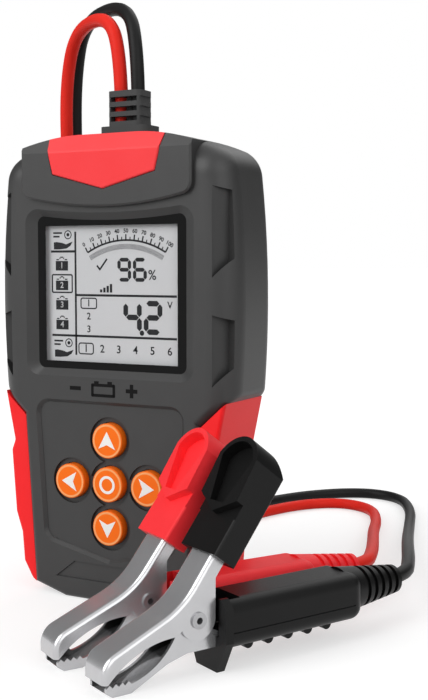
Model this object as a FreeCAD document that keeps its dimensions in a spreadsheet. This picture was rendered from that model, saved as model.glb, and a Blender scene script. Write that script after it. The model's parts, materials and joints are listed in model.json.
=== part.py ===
# Hand-held battery tester with two clamp leads, standing on a table.
# Millimetres and degrees. The origin is the middle of the flat base, X to the right,
# Y to the back and Z up, so the display faces -Y.

import FreeCAD, Part
import Sketcher
import math
import os
from types import SimpleNamespace

Vector = FreeCAD.Vector

# Driving sizes: alias, value, what it measures.
SIZES = (
    # case
    ("case_width", 92.0, "across the grips at the widest"),
    ("case_depth", 30.0, "front face to back face"),
    ("crown_height", 154.5, "base to the flat of the top"),
    ("crown_flat", 20.0, "width of the flat on the top"),
    ("front_depth", 17.5, "front face to the parting line"),
    ("shoulder_inset", 2.8, "shoulder corners, in from the widest"),
    ("shoulder_height", 146.5, "base to the shoulder corners"),
    ("shoulder_radius", 10.0, "rounding of the shoulders"),
    ("grip_foot_inset", 1.0, "lower ends of the grips, in from the widest"),
    ("grip_foot_round", 3.0, "rounding of the grips' lower corners"),
    ("grip_foot_height", 71.0, "base to the lower ends of the grips"),
    ("side_bow", 1.9, "how far the grips bow out over their length"),
    ("grip_round", 9.0, "rounding of the front edge"),
    ("back_round", 6.0, "rounding of the back edge"),
    ("waist_width", 68.0, "lower case at the waist"),
    ("waist_height", 61.0, "base to the waist"),
    ("waist_overlap", 7.0, "how far the lower case reaches up behind the grips' ends"),
    ("foot_width", 60.6, "lower case at its foot"),
    ("foot_height", 3.5, "base to the foot's side corners"),
    ("base_inset", 12.3, "flat base, in from the foot's side corners"),
    ("lower_round", 2.0, "rounding of the lower case's front and back edges"),
    ("wall", 2.0, "front and back walls, and the lower sides"),
    ("grip_wall", 7.5, "thickness of the grips at the sides"),
    ("top_wall", 5.5, "thickness of the top"),
    # grip pockets
    ("pocket_depth", 2.2, "deepest wall of a grip pocket"),
    ("pocket_reach", 6.5, "side of the case to the front end of a pocket"),
    ("upper_pocket_low", 107.0, "base to the upper pocket"),
    ("upper_pocket_high", 137.0, "base to the top of the upper pocket"),
    ("lower_pocket_low", 73.0, "base to the lower pocket"),
    ("lower_pocket_high", 97.0, "base to the top of the lower pocket"),
    ("pocket_slant", 8.0, "how far a pocket's lower end slants"),
    ("pocket_lean", 3.0, "how far a pocket's upper end slants"),
    ("pocket_floor", 3.2, "back end of a pocket, in from the side of the case"),
    # hood and insert
    ("hood_width", 65.0, "raised hood at its lower corners"),
    ("hood_top_width", 65.0, "raised hood at the top"),
    ("hood_height", 135.0, "base to the hood's lower corners"),
    ("hood_dip", 4.0, "how far the hood's lower edge dips in the middle"),
    ("hood_rise", 2.0, "hood above the front face"),
    ("hood_round", 4.0, "rounding of the hood's lower corners"),
    ("hood_edge", 0.6, "bevel round the hood"),
    ("brow_height", 149.0, "base to the front edge of the sloped top"),
    ("brow_reach", 3.0, "depth of the sloped top"),
    ("insert_tip", 136.7, "base to the insert's lower tip"),
    ("insert_low_width", 39.0, "insert at its lower corners"),
    ("insert_low", 141.8, "base to the insert's lower corners"),
    ("insert_width", 42.0, "insert at its sides"),
    ("insert_side", 147.5, "base to the insert's side corners"),
    ("insert_top_width", 44.0, "insert at the top"),
    ("insert_seat", 3.0, "depth of the insert's seat in the hood"),
    ("insert_rise", 0.4, "insert above the hood"),
    ("insert_gap", 0.2, "gap round the insert"),
    ("insert_edge", 0.35, "bevel round the insert's face"),
    # display
    ("display_centre", 103.0, "base to the middle of the display"),
    ("bezel_width", 64.8, "sloped frame, outside"),
    ("bezel_height", 55.6, "sloped frame, outside"),
    ("bezel_side", 3.7, "sloped frame, across one of its sides"),
    ("bezel_rim", 2.4, "sloped frame, across its top or foot"),
    ("bezel_round", 5.0, "corners of the sloped frame"),
    ("bezel_dip", 1.6, "how far the top of the sloped frame dips in the middle"),
    ("window_round", 2.5, "corners of the window"),
    ("lens_thickness", 1.5, "window lens"),
    ("lens_lap", 2.0, "lens behind the edge of its opening"),
    ("stack_gap", 0.1, "air between lens, display glass and holder"),
    ("glass_thickness", 2.0, "display glass"),
    ("glass_inset", 0.6, "display glass inside the window's edge"),
    # keypad
    ("keypad_top", 66.2, "base to the top of the keypad recess"),
    ("keypad_top_inset", 6.0, "keypad recess at the top, in from the waist"),
    ("keypad_low", 20.0, "base to the lower corners of the keypad recess"),
    ("keypad_low_inset", 5.5, "keypad recess at its lower corners, in from the foot"),
    ("keypad_tip", 14.5, "base to the lowest point of the keypad recess"),
    ("keypad_depth", 1.2, "keypad recess below the front face"),
    ("keypad_round", 4.0, "corners of the keypad recess"),
    ("keypad_slope", 1.1, "sloped edge round the keypad recess"),
    ("chin_low", 6.9, "base to the hollow under the keypad"),
    ("chin_high", 12.8, "base to the top of the hollow under the keypad"),
    ("chin_width", 42.6, "hollow under the keypad at its foot"),
    ("chin_top_width", 27.4, "hollow under the keypad at its top"),
    ("chin_depth", 0.6, "hollow under the keypad"),
    ("key_well_depth", 1.1, "wells round the buttons, below the keypad recess"),
    ("key_well_width", 15.4, "wells round the buttons"),
    ("keypad_wall", 4.5, "front wall behind the keypad"),
    ("button_width", 11.6, "button across"),
    ("button_rise", 2.8, "button above its well"),
    ("button_bevel", 0.3, "bevel round a button's face"),
    ("button_gap", 0.25, "gap round a button"),
    ("button_flange", 0.9, "width of the flange that keeps a button in"),
    ("button_flange_thickness", 1.2, "flange that keeps a button in"),
    ("button_stem", 4.0, "stem behind a button"),
    ("button_travel", 0.6, "push of a button"),
    ("key_height", 40.0, "base to the middle button"),
    ("key_pitch_up", 14.55, "middle button to the upper and lower ones"),
    ("key_pitch_side", 14.9, "middle button to the side ones"),
    # board
    ("board_inset", 1.8, "circuit board, in from the lower case's inner side"),
    ("board_low", 13.5, "base to the lower edge of the board"),
    ("board_high", 143.0, "base to the upper edge of the board"),
    ("board_thickness", 1.6, "circuit board"),
    ("board_depth", 10.6, "front face to the board"),
    ("switch_width", 6.0, "push switch"),
    ("switch_height", 3.0, "push switch on the board"),
    ("plunger_width", 3.4, "plunger of a push switch"),
    ("plunger_height", 0.5, "plunger of a push switch"),
    ("terminal_width", 14.0, "terminal block for the leads"),
    ("terminal_height", 8.0, "terminal block for the leads"),
    ("terminal_depth", 5.8, "terminal block for the leads"),
    ("chip_width", 11.0, "processor"),
    ("chip_height", 1.4, "processor"),
    ("resistor_length", 22.0, "load resistors"),
    ("resistor_width", 6.5, "load resistors"),
    ("resistor_pitch", 10.4, "between the load resistors"),
    ("capacitor_width", 8.0, "capacitors"),
    ("capacitor_pitch", 12.0, "between the capacitors, and from the middle"),
    ("capacitor_height", 10.0, "capacitors"),
    # fasteners
    ("boss_width", 6.4, "screw boss"),
    ("screw_width", 2.9, "case screw shank"),
    ("screw_head", 5.4, "case screw head"),
    ("screw_head_height", 2.0, "case screw head"),
    ("screw_length", 16.0, "case screw shank"),
    ("screw_sink", 5.0, "case screw seat below the back face"),
    ("screw_gap", 0.1, "gap round a screw"),
    ("case_screw_out", 8.0, "upper case screws, out from the board"),
    ("case_screw_high", 120.0, "base to the upper case screws"),
    ("case_screw_foot", 28.0, "across the lower case screws"),
    ("case_screw_low", 8.6, "base to the lower case screws"),
    ("board_screw_width", 2.2, "board screw shank"),
    ("board_screw_head", 4.2, "board screw head"),
    ("board_screw_head_height", 1.4, "board screw head"),
    ("board_screw_length", 6.0, "board screw shank"),
    ("board_screw_inset", 4.0, "board screws, in from the board's edge"),
    ("board_screw_low", 17.5, "base to the lowest board screws"),
    ("board_screw_mid", 71.4, "base to the middle board screws"),
    ("board_screw_high", 138.0, "base to the upper board screws"),
    ("board_boss", 4.6, "board screw boss"),
    # side rails
    ("rail_set_back", 1.2, "rail behind the front face and before the back face"),
    ("rail_tip_share", 0.8, "how far the rail's tip follows the underside of the grip"),
    ("rail_notch_out", 9.0, "rail at its notch, out from the foot"),
    ("rail_notch_height", 52.0, "base to the notch"),
    ("rail_bump_out", 10.4, "rail at its bump, out from the foot"),
    ("rail_bump_height", 48.5, "base to the top of the bump"),
    ("rail_bump_low_out", 8.8, "rail at the bump's lower end, out from the foot"),
    ("rail_bump_low", 27.0, "base to the bump's lower end"),
    ("rail_shin_out", 6.4, "rail below the bump, out from the foot"),
    ("rail_shin_height", 20.0, "base to the rail below the bump"),
    ("rail_heel_out", 5.6, "rail at the heel, out from the foot"),
    ("rail_heel_height", 10.0, "base to the heel"),
    ("rail_toe_out", 2.6, "rail at the toe, out from the foot"),
    ("rail_toe_height", 5.0, "base to the toe"),
    ("rail_round", 2.0, "rounding of the rails' corners"),
    ("rail_edge", 1.2, "rounding of the rails' edges"),
    # gland and leads
    ("lead_width", 4.6, "test lead"),
    ("lead_pitch", 6.5, "between the two leads in the gland"),
    ("lead_gap", 0.05, "gap round a lead where it is held"),
    ("gland_neck_width", 13.6, "gland through the top"),
    ("gland_neck_depth", 8.0, "gland through the top"),
    ("gland_flange_width", 18.4, "gland flange on the top"),
    ("gland_flange_depth", 10.4, "gland flange on the top"),
    ("gland_flange_thickness", 3.4, "gland flange on the top"),
    ("gland_tail", 1.8, "gland flange under the top"),
    ("gland_height", 15.0, "gland above the top"),
    ("gland_top_width", 13.0, "gland at its upper end"),
    ("gland_top_depth", 8.4, "gland at its upper end"),
    ("gland_slot", 1.6, "slots across the gland"),
    ("gland_slot_pitch", 3.2, "between the slots across the gland"),
    ("gland_slot_width", 10.2, "slots across the gland"),
    ("gland_web", 1.2, "wall between the slots of the gland's front and back"),
    ("gland_notch", 0.6, "notches in the gland's sides, beside the slots"),
    # clamps, side view: reach from the nose and height above the table
    ("rivet_reach", 29.6, "nose to the rivet"),
    ("rivet_height", 16.1, "table to the rivet"),
    ("sheet", 1.0, "steel sheet of the arms"),
    ("upper_width", 11.0, "upper arm across"),
    ("arm_gap", 0.15, "between the cheeks of the two arms"),
    ("nose_low", 4.0, "upper arm, lower end of the nose"),
    ("nose_round", 6.0, "upper arm, rounding of the nose"),
    ("spine_slope", 23.3, "upper arm's back between nose and bend, above the table"),
    ("knee_drop", 6.9, "upper arm, middle of the bend below the hip"),
    ("knee_round", 24.0, "upper arm, rounding of the bend"),
    ("bend_round", 1.5, "rounding where the sheet is bent"),
    ("hip_reach", 28.8, "upper arm, start of the handle above the rivet"),
    ("hip_height", 26.1, "upper arm, start of the handle above the rivet"),
    ("handle_angle", 53.0, "upper handle above the table"),
    ("handle_length", 34.0, "upper arm beyond the hip"),
    ("handle_height", 4.6, "height of the upper arm's cheeks in the handle"),
    ("tooth_pitch", 1.9, "teeth of the lower arm"),
    ("tooth_height", 0.9, "teeth of the lower arm"),
    ("lip_length", 1.4, "straight edge under the nose"),
    ("cheek_round", 27.6, "upper arm, edge of the jaw gap"),
    ("ear_round", 5.6, "arms round the rivet"),
    ("jaw_start", 1.5, "nose to the lower arm's front end"),
    ("jaw_front_height", 2.6, "lower arm, foot of the teeth at the front end"),
    ("toe_reach", 3.4, "lower arm, front end of the part on the table"),
    ("sole_reach", 9.0, "lower arm, back end of the part on the table"),
    ("instep_reach", 20.5, "lower arm, bend under the rivet"),
    ("instep_height", 5.6, "lower arm, bend under the rivet"),
    ("tail_height", 7.2, "lower arm, underside in the grip"),
    ("tail_reach", 66.0, "nose to the lower arm's back end"),
    ("tail_cheek", 3.8, "height of the lower arm's cheeks in the grip"),
    ("gum_round", 20.3, "lower arm, edge of the jaw gap"),
    ("jaw_corner_reach", 23.0, "back end of the jaw gap"),
    ("jaw_corner_height", 12.8, "back end of the jaw gap"),
    ("rivet_width", 3.2, "rivet"),
    ("rivet_bore", 1.9, "hole through the rivet"),
    ("rivet_gap", 0.05, "gap round the rivet"),
    ("rivet_head", 4.6, "rivet heads"),
    ("rivet_head_thickness", 0.6, "rivet heads"),
    ("spring_wire", 0.9, "spring wire"),
    ("spring_width", 8.0, "spring, middle of the wire"),
    ("spring_pitch", 1.45, "between the spring's turns"),
    ("spring_leg", 16.0, "reach of the spring's legs beyond the rivet"),
    ("spring_seat", 0.55, "middle of a spring leg above the sheet"),
    # clamp grips
    ("grip_end", 88.0, "nose to the lower grip's neck"),
    ("grip_width", 17.0, "lower grip across"),
    ("grip_low", 6.4, "table to the lower grip's underside"),
    ("grip_high", 20.4, "table to the lower grip's top"),
    ("grip_edge", 4.0, "rounding of the lower grip's end"),
    ("grip_side", 3.8, "rounding of the lower grip's long edges"),
    ("seam_height", 11.2, "table to the seam along the lower grip"),
    ("seam_width", 0.4, "seam along the lower grip"),
    ("seam_depth", 0.3, "seam along the lower grip"),
    ("mouth_length", 7.3, "opening in the lower grip's front end for the arms' ears"),
    ("mouth_gap", 0.35, "gap between that opening and the upper arm"),
    ("flange_start", 36.0, "nose to the lower grip's flange"),
    ("flange_thickness", 2.6, "lower grip's flange"),
    ("flange_width", 19.0, "lower grip's flange across"),
    ("flange_high", 21.0, "table to the top of the flange"),
    ("flange_foot", 10.0, "width of the flange's foot on the table"),
    ("lead_height", 13.9, "table to the lead in the lower grip"),
    ("neck_length", 19.0, "slotted neck of the lower grip"),
    ("neck_start_width", 14.4, "slotted neck at the grip"),
    ("neck_end_width", 8.8, "slotted neck at its end"),
    ("ring_pitch", 3.2, "between the slots in the neck"),
    ("ring_width", 1.5, "slots in the neck"),
    ("ring_depth", 1.1, "slots in the neck"),
    ("rib_start", 47.0, "nose to the first bar under the lower grip"),
    ("rib_pitch", 7.2, "between the bars under the lower grip"),
    ("rib_width", 3.2, "bars under the lower grip"),
    ("rib_length", 10.0, "bars under the lower grip"),
    ("grip_gap", 0.1, "gap between a grip and its arm"),
    ("handle_grip_width", 17.2, "upper grip across"),
    ("handle_grip_start", 9.0, "hip to the upper grip"),
    ("handle_grip_length", 34.0, "upper grip along the handle"),
    ("handle_grip_cover", 1.6, "upper grip over the handle's back"),
    ("handle_grip_depth", 8.2, "upper grip's sleeve, front to back"),
    ("handle_grip_slant", 6.0, "slanted end of the upper grip's back"),
    ("handle_grip_edge", 0.8, "rounding of the upper grip's long edges"),
    ("paddle_length", 23.0, "thumb paddle, lip to the upper grip's end"),
    ("paddle_rise", 2.2, "thumb paddle above the sleeve at its lip"),
    ("paddle_lean", 2.0, "how much further the thumb paddle stands out at its end"),
    ("paddle_crown", 6.0, "height of the thumb paddle's rounded end"),
    ("paddle_rim", 1.5, "rim round the thumb hollow"),
    ("paddle_vee", 4.5, "how far the lip points down in the middle"),
    ("thumb_floor", 0.3, "floor of the thumb hollow above the sleeve"),
    ("thumb_foot", 6.0, "thumb hollow across at its lower end"),
    ("lug_width", 5.6, "lead lug across"),
    ("lug_thickness", 1.0, "lead lug"),
    ("lug_eye", 57.0, "nose to the lug's rivet"),
    ("lug_rivet_width", 2.6, "lug rivet"),
    ("lug_rivet_head", 4.2, "lug rivet heads"),
    ("barrel_start", 69.0, "nose to the lug's barrel"),
    ("barrel_length", 9.0, "lug's barrel"),
    ("barrel_width", 6.0, "lug's barrel"),
    ("core_width", 3.0, "bare core between the barrel and the lead"),
    ("lead_entry", 8.0, "lead inside the slotted neck"),
    ("lead_exit", 6.0, "straight stretch of a lead beyond the slotted neck"),
    # where the clamps lie: nose on the table, and the way to the lead's end, from +Y towards +X
    ("red_nose_x", 17.9, "red clamp's nose, to the right"),
    ("red_nose_y", -73.6, "red clamp's nose, to the back"),
    ("red_heading", 31.0, "red clamp's direction"),
    ("black_nose_x", 40.5, "black clamp's nose, to the right"),
    ("black_nose_y", -84.0, "black clamp's nose, to the back"),
    ("black_heading", 27.0, "black clamp's direction"),
)

# Routes of the two leads from the gland to the clamps, as they lie in the photograph.
# Each ends at its clamp, where the last two points follow from the clamp's own place.
LEAD_RED_ROUTE = (
    (-3.25, 0.0, 158.5), (-3.25, 0.0, 178.0), (-10.0, 4.0, 196.5), (-34.0, 18.0, 196.5), (-41.5, 22.0, 178.0),
    (-41.5, 22.5, 150.0), (-40.0, 24.0, 106.0), (-38.5, 26.0, 66.0), (-36.0, 31.0, 34.0), (-31.5, 46.0, 8.0),
    (-22.0, 70.0, 2.4), (-15.0, 98.0, 2.4), (-10.0, 125.0, 2.4), (-1.0, 148.0, 2.4), (14.0, 160.0, 2.4),
    (31.0, 153.0, 2.4), (41.0, 131.0, 2.6), (49.5, 103.0, 5.0), (60.0, 74.0, 8.5), (69.0, 48.0, 11.5),
)
LEAD_BLACK_ROUTE = (
    (3.25, 0.0, 161.5), (3.25, 0.0, 181.0), (-6.0, 9.0, 201.0), (-35.0, 25.0, 201.0), (-42.5, 29.5, 181.0),
    (-42.8, 30.0, 152.0), (-42.5, 31.5, 108.0), (-41.0, 34.5, 68.0), (-38.5, 41.0, 36.0), (-35.0, 59.0, 13.0),
    (-32.0, 85.0, 7.5), (-27.0, 114.0, 2.6), (-19.0, 143.0, 2.4), (-6.0, 170.0, 2.4), (14.0, 187.0, 2.4),
    (34.0, 183.0, 2.4), (47.0, 159.0, 2.4), (57.0, 126.0, 3.0), (67.5, 92.0, 6.5), (77.5, 62.0, 10.5),
    (86.0, 37.0, 13.0),
)
RING_COUNT = 5
RIB_COUNT = 5
TOOTH_COUNT = 4
SLOT_COUNT = 3
SPRING_TURNS = 3
SPRING_SAMPLES = 400
NEXT_TURN = 270
CORNER_SHARE = 0.45
CROSS_SHARE = 0.7
SLOT_SHARE = 0.17
TOP_SIDE = 4

doc = FreeCAD.newDocument("battery_tester")
sheet = doc.addObject("Spreadsheet::Sheet", "Sizes")


class Size:
    """A number together with the sheet formula that gives it."""

    def __init__(self, value, formula):
        self.value = float(value)
        self.formula = formula

    def __add__(self, other):
        other = as_size(other)
        return Size(self.value + other.value, "(%s + %s)" % (self.formula, other.formula))

    def __sub__(self, other):
        other = as_size(other)
        return Size(self.value - other.value, "(%s - %s)" % (self.formula, other.formula))

    def __mul__(self, other):
        other = as_size(other)
        return Size(self.value * other.value, "(%s * %s)" % (self.formula, other.formula))

    def __truediv__(self, other):
        other = as_size(other)
        return Size(self.value / other.value, "(%s / %s)" % (self.formula, other.formula))

    def __neg__(self):
        return Size(-self.value, "(0 - %s)" % self.formula)

    def __radd__(self, other):
        return as_size(other) + self

    def __rsub__(self, other):
        return as_size(other) - self

    def __rmul__(self, other):
        return as_size(other) * self


def as_size(thing):
    if isinstance(thing, Size):
        return thing
    return Size(thing, "(%.6f)" % thing)


def sine(angle):
    return Size(math.sin(math.radians(angle.value)), "sin(%s)" % angle.formula)


def cosine(angle):
    return Size(math.cos(math.radians(angle.value)), "cos(%s)" % angle.formula)


def fill_sheet():
    sizes = {}
    for row, (alias, value, meaning) in enumerate(SIZES, 1):
        sheet.set("A%d" % row, alias)
        sheet.set("B%d" % row, str(value))
        sheet.setAlias("B%d" % row, alias)
        sheet.set("C%d" % row, meaning)
        sizes[alias] = Size(value, "Sizes." + alias)
    doc.recompute()
    return SimpleNamespace(**sizes)


S = fill_sheet()
NODES = []


def node(thing, label):
    """Give a finished sub-part its name, under which it is written out."""
    thing.Label = label
    NODES.append(thing)
    return thing


def bind(thing, field, size):
    thing.setExpression(field, as_size(size).formula)


def place(thing, x=0, y=0, z=0):
    for axis, size in (("x", x), ("y", y), ("z", z)):
        bind(thing, "Placement.Base." + axis, size)


def new_body(name):
    return doc.addObject("PartDesign::Body", name)


def new_sketch(body, plane, offset=0):
    """A sketch on one of the body's own planes, moved along the plane's normal."""
    sketch = body.newObject("Sketcher::SketchObject", body.Name + "_sketch")
    planes = {feature.Role: feature for feature in body.Origin.OriginFeatures}
    sketch.AttachmentSupport = [(planes[plane], "")]
    sketch.MapMode = "FlatFace"
    bind(sketch, "AttachmentOffset.Base.z", offset)
    return sketch


def fix(sketch, kind, size, *where):
    size = as_size(size)
    number = sketch.addConstraint(Sketcher.Constraint(kind, *where, size.value))
    sketch.setExpression("Constraints[%d]" % number, size.formula)


def arc_between(start, end, radius):
    """The short arc that goes counter-clockwise from start to end."""
    chord = end - start
    half = chord.Length / 2
    left = Vector(-chord.y, chord.x, 0).normalize()
    centre = (start + end) / 2 + left * math.sqrt(max(radius ** 2 - half ** 2, 0))
    first = math.atan2(start.y - centre.y, start.x - centre.x)
    last = math.atan2(end.y - centre.y, end.x - centre.x)
    return Part.ArcOfCircle(Part.Circle(centre, Vector(0, 0, 1), radius), first, last)


def outline(sketch, corners, arcs=None):
    """Draw a closed loop, counter-clockwise. arcs gives the radius of the side that starts at a
    corner, by its number: positive where the side bulges out, negative where it bulges in."""
    arcs = arcs or {}
    corners = [(as_size(x), as_size(y)) for x, y in corners]
    points = [Vector(x.value, y.value, 0) for x, y in corners]
    sides = []
    for number, start in enumerate(points):
        end = points[(number + 1) % len(points)]
        radius = as_size(arcs.get(number, 0))
        if radius.value == 0:
            sides.append((sketch.addGeometry(Part.LineSegment(start, end), False), 1, 2))
        elif radius.value > 0:
            sides.append((sketch.addGeometry(arc_between(start, end, radius.value), False), 1, 2))
        else:
            sides.append((sketch.addGeometry(arc_between(end, start, -radius.value), False), 2, 1))
    for number, (geometry, first, last) in enumerate(sides):
        following, begin, _ = sides[(number + 1) % len(sides)]
        sketch.addConstraint(Sketcher.Constraint("Coincident", geometry, last, following, begin))
        fix(sketch, "DistanceX", corners[number][0], -1, 1, geometry, first)
        fix(sketch, "DistanceY", corners[number][1], -1, 1, geometry, first)
        if number in arcs:
            radius = as_size(arcs[number])
            fix(sketch, "Radius", radius if radius.value > 0 else -radius, geometry)
    return sketch


def ring(sketch, x, y, radius):
    """Draw a full circle."""
    x, y, radius = as_size(x), as_size(y), as_size(radius)
    circle = Part.Circle(Vector(x.value, y.value, 0), Vector(0, 0, 1), radius.value)
    geometry = sketch.addGeometry(circle, False)
    fix(sketch, "DistanceX", x, -1, 1, geometry, 3)
    fix(sketch, "DistanceY", y, -1, 1, geometry, 3)
    fix(sketch, "Radius", radius, geometry)
    return sketch


def bow(half, rise):
    """Radius of the arc that rises so far over half its width."""
    return (half * half + rise * rise) / (2 * rise)


def box_corners(left, low, right, high):
    return [(left, low), (right, low), (right, high), (left, high)]


def rounded_corners(middle_x, middle_y, width, height, radius):
    """A rectangle with round corners, for outline()."""
    left, right = middle_x - width / 2, middle_x + width / 2
    low, high = middle_y - height / 2, middle_y + height / 2
    corners = [
        (left + radius, low), (right - radius, low), (right, low + radius), (right, high - radius),
        (right - radius, high), (left + radius, high), (left, high - radius), (left, low + radius),
    ]
    return corners, {1: radius, 3: radius, 5: radius, 7: radius}


def mirrored(right_half):
    """Both halves of an outline, from its right half listed from the bottom to the top."""
    return right_half + [(-as_size(x), y) for x, y in reversed(right_half)]


def extrude(body, kind, sketch, length, both_ways=False, reverse=False):
    feature = body.newObject("PartDesign::" + kind, body.Name + "_" + kind.lower())
    feature.Profile = sketch
    feature.SideType = "Symmetric" if both_ways else "One side"
    feature.Reversed = reverse
    bind(feature, "Length", length)
    doc.recompute()
    return feature


def pad(body, sketch, length, **ways):
    return extrude(body, "Pad", sketch, length, **ways)


def pocket(body, sketch, length, **ways):
    """Cut a sketch into the body; the cut must take something away."""
    before = body.Shape.Volume
    feature = extrude(body, "Pocket", sketch, length, **ways)
    if body.Shape.Volume > before - 1e-6:
        raise RuntimeError("a pocket of %s cuts nothing" % body.Name)
    return feature


def turn(body, kind, sketch, axis):
    feature = body.newObject("PartDesign::" + kind, body.Name + "_" + kind.lower())
    feature.Profile = sketch
    feature.ReferenceAxis = (sketch, [axis])
    feature.Angle = 360
    doc.recompute()
    return feature


def soften(body, kind, size, wanted):
    """Fillet or chamfer the edges of the body for which wanted(edge) is true."""
    base = body.Tip
    names = ["Edge%d" % (n + 1) for n, edge in enumerate(base.Shape.Edges) if wanted(edge)]
    feature = body.newObject("PartDesign::" + kind, body.Name + "_" + kind.lower())
    feature.Base = (base, names)
    bind(feature, "Radius" if kind == "Fillet" else "Size", size)
    doc.recompute()
    return feature


def runs_along(edge, direction):
    """True for a straight edge along a direction."""
    if edge.Curve.TypeId != "Part::GeomLine":
        return False
    return abs(edge.tangentAt(edge.FirstParameter).dot(direction)) > 0.999


def lies_at(edge, axis, value):
    """True for an edge whose every point has that coordinate."""
    box = edge.BoundBox
    low, high = getattr(box, axis + "Min"), getattr(box, axis + "Max")
    return abs(low - value) < 1e-3 and abs(high - value) < 1e-3


FRONT = -S.case_depth / 2
BACK = S.case_depth / 2
PARTING = FRONT + S.front_depth
CROWN_DROP = S.crown_height - S.shoulder_height
SHOULDER_WIDTH = S.case_width - 2 * S.shoulder_inset
GRIP_FOOT_WIDTH = S.case_width - 2 * S.grip_foot_inset
CROWN_RUN = (SHOULDER_WIDTH - S.crown_flat) / 2
CROWN_ROUND = bow(CROWN_RUN, CROWN_DROP)
SIDE_RISE = S.shoulder_height - S.grip_foot_height
SIDE_ROUND = SIDE_RISE * SIDE_RISE / (8 * S.side_bow)
WINDOW_WIDTH = S.bezel_width - 2 * S.bezel_side
WINDOW_HEIGHT = S.bezel_height - 2 * S.bezel_rim
KEYPAD_TOP_WIDTH = S.waist_width - 2 * S.keypad_top_inset
KEYPAD_LOW_WIDTH = S.foot_width - 2 * S.keypad_low_inset
BOARD_WIDTH = S.foot_width - 2 * S.wall - 2 * S.board_inset
ALONG_Y = Vector(0, 1, 0)
BUTTONS = {
    "button_up": (0, S.key_pitch_up),
    "button_down": (0, -S.key_pitch_up),
    "button_left": (-S.key_pitch_side, 0),
    "button_right": (S.key_pitch_side, 0),
    "button_centre": (0, 0),
}
WELL_FLOOR = FRONT + S.keypad_depth + S.key_well_depth
KEYPAD_BACK = FRONT + S.keypad_wall
BOARD_FRONT = FRONT + S.board_depth
BOARD_BACK = BOARD_FRONT + S.board_thickness
SCREW_SEAT = BACK - S.screw_sink
CASE_SCREW_SIDE = BOARD_WIDTH + 2 * S.case_screw_out
CASE_SCREWS = [
    (side * width / 2, height)
    for width, height in ((CASE_SCREW_SIDE, S.case_screw_high), (S.case_screw_foot, S.case_screw_low))
    for side in (-1, 1)
]
BOARD_SCREWS = [
    (side * (BOARD_WIDTH / 2 - S.board_screw_inset), height)
    for height in (S.board_screw_low, S.board_screw_mid, S.board_screw_high)
    for side in (-1, 1)
]


def crown_corners(width):
    """Right half of the top, from a given width to the flat, with the height there."""
    run = (width - S.crown_flat) / 2
    return width / 2, S.crown_height - run * run / (2 * CROWN_ROUND)


def upper_outline(sketch):
    right = [
        (S.waist_width / 2, S.waist_height),
        (GRIP_FOOT_WIDTH / 2, S.grip_foot_height),
        (SHOULDER_WIDTH / 2, S.shoulder_height),
        (S.crown_flat / 2, S.crown_height),
    ]
    arcs = {1: SIDE_ROUND, 2: CROWN_ROUND, 4: CROWN_ROUND, 5: SIDE_ROUND}
    return outline(sketch, mirrored(right), arcs)


def lower_outline(sketch):
    right = [
        (S.foot_width / 2 - S.base_inset, 0),
        (S.foot_width / 2, S.foot_height),
        (S.waist_width / 2, S.waist_height),
        (S.waist_width / 2 - S.waist_overlap, S.waist_height + S.waist_overlap),
    ]
    return outline(sketch, mirrored(right))


def cavity_outline(sketch):
    """The hollow inside both shells."""
    inner_side = S.case_width / 2 - S.grip_wall
    inner_top = S.crown_height - S.top_wall
    slope = S.grip_wall + S.top_wall
    right = [
        (S.foot_width / 2 - S.wall, S.foot_height + S.wall),
        (S.waist_width / 2 - S.wall - S.lower_round, S.waist_height),
        (inner_side - S.wall, S.grip_foot_height),
        (inner_side, S.grip_foot_height + S.wall * 2),
        (inner_side, inner_top - slope),
        (inner_side - slope, inner_top),
    ]
    return outline(sketch, mirrored(right))


def half_case(name, face, round_size, direction):
    """The outer block of one shell, from the parting line to its face, hollowed out."""
    body = new_body(name)
    forward = direction < 0
    depth = S.front_depth if forward else S.case_depth - S.front_depth
    pad(body, upper_outline(new_sketch(body, "XZ_Plane", -PARTING)), depth, reverse=not forward)
    foot, shoulder = S.grip_foot_height.value, S.shoulder_height.value
    soften(body, "Fillet", S.shoulder_radius, lambda edge: runs_along(edge, ALONG_Y)
           and lies_at(edge, "Z", shoulder))
    soften(body, "Fillet", round_size, lambda edge: lies_at(edge, "Y", face.value)
           and edge.BoundBox.ZMin > foot - 0.1)
    soften(body, "Fillet", S.grip_foot_round, lambda edge: runs_along(edge, ALONG_Y)
           and lies_at(edge, "Z", foot))
    pad(body, lower_outline(new_sketch(body, "XZ_Plane", -PARTING)), depth, reverse=not forward)
    soften(body, "Fillet", S.lower_round, lambda edge: lies_at(edge, "Y", face.value)
           and edge.BoundBox.ZMax < S.waist_height.value + 0.1)
    cavity = cavity_outline(new_sketch(body, "XZ_Plane", -PARTING))
    pocket(body, cavity, depth - S.wall, reverse=forward)
    return body


def gland_hole(body):
    """The way through the top for the gland's neck, shared by both shells."""
    low = S.crown_height - S.top_wall - S.gland_tail
    sketch = new_sketch(body, "XY_Plane", low)
    outline(sketch, *rounded_corners(as_size(0), as_size(0), S.gland_neck_width, S.gland_neck_depth,
                                     S.gland_neck_depth / 4))
    pocket(body, sketch, S.top_wall + S.gland_tail * 2, reverse=True)


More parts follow.
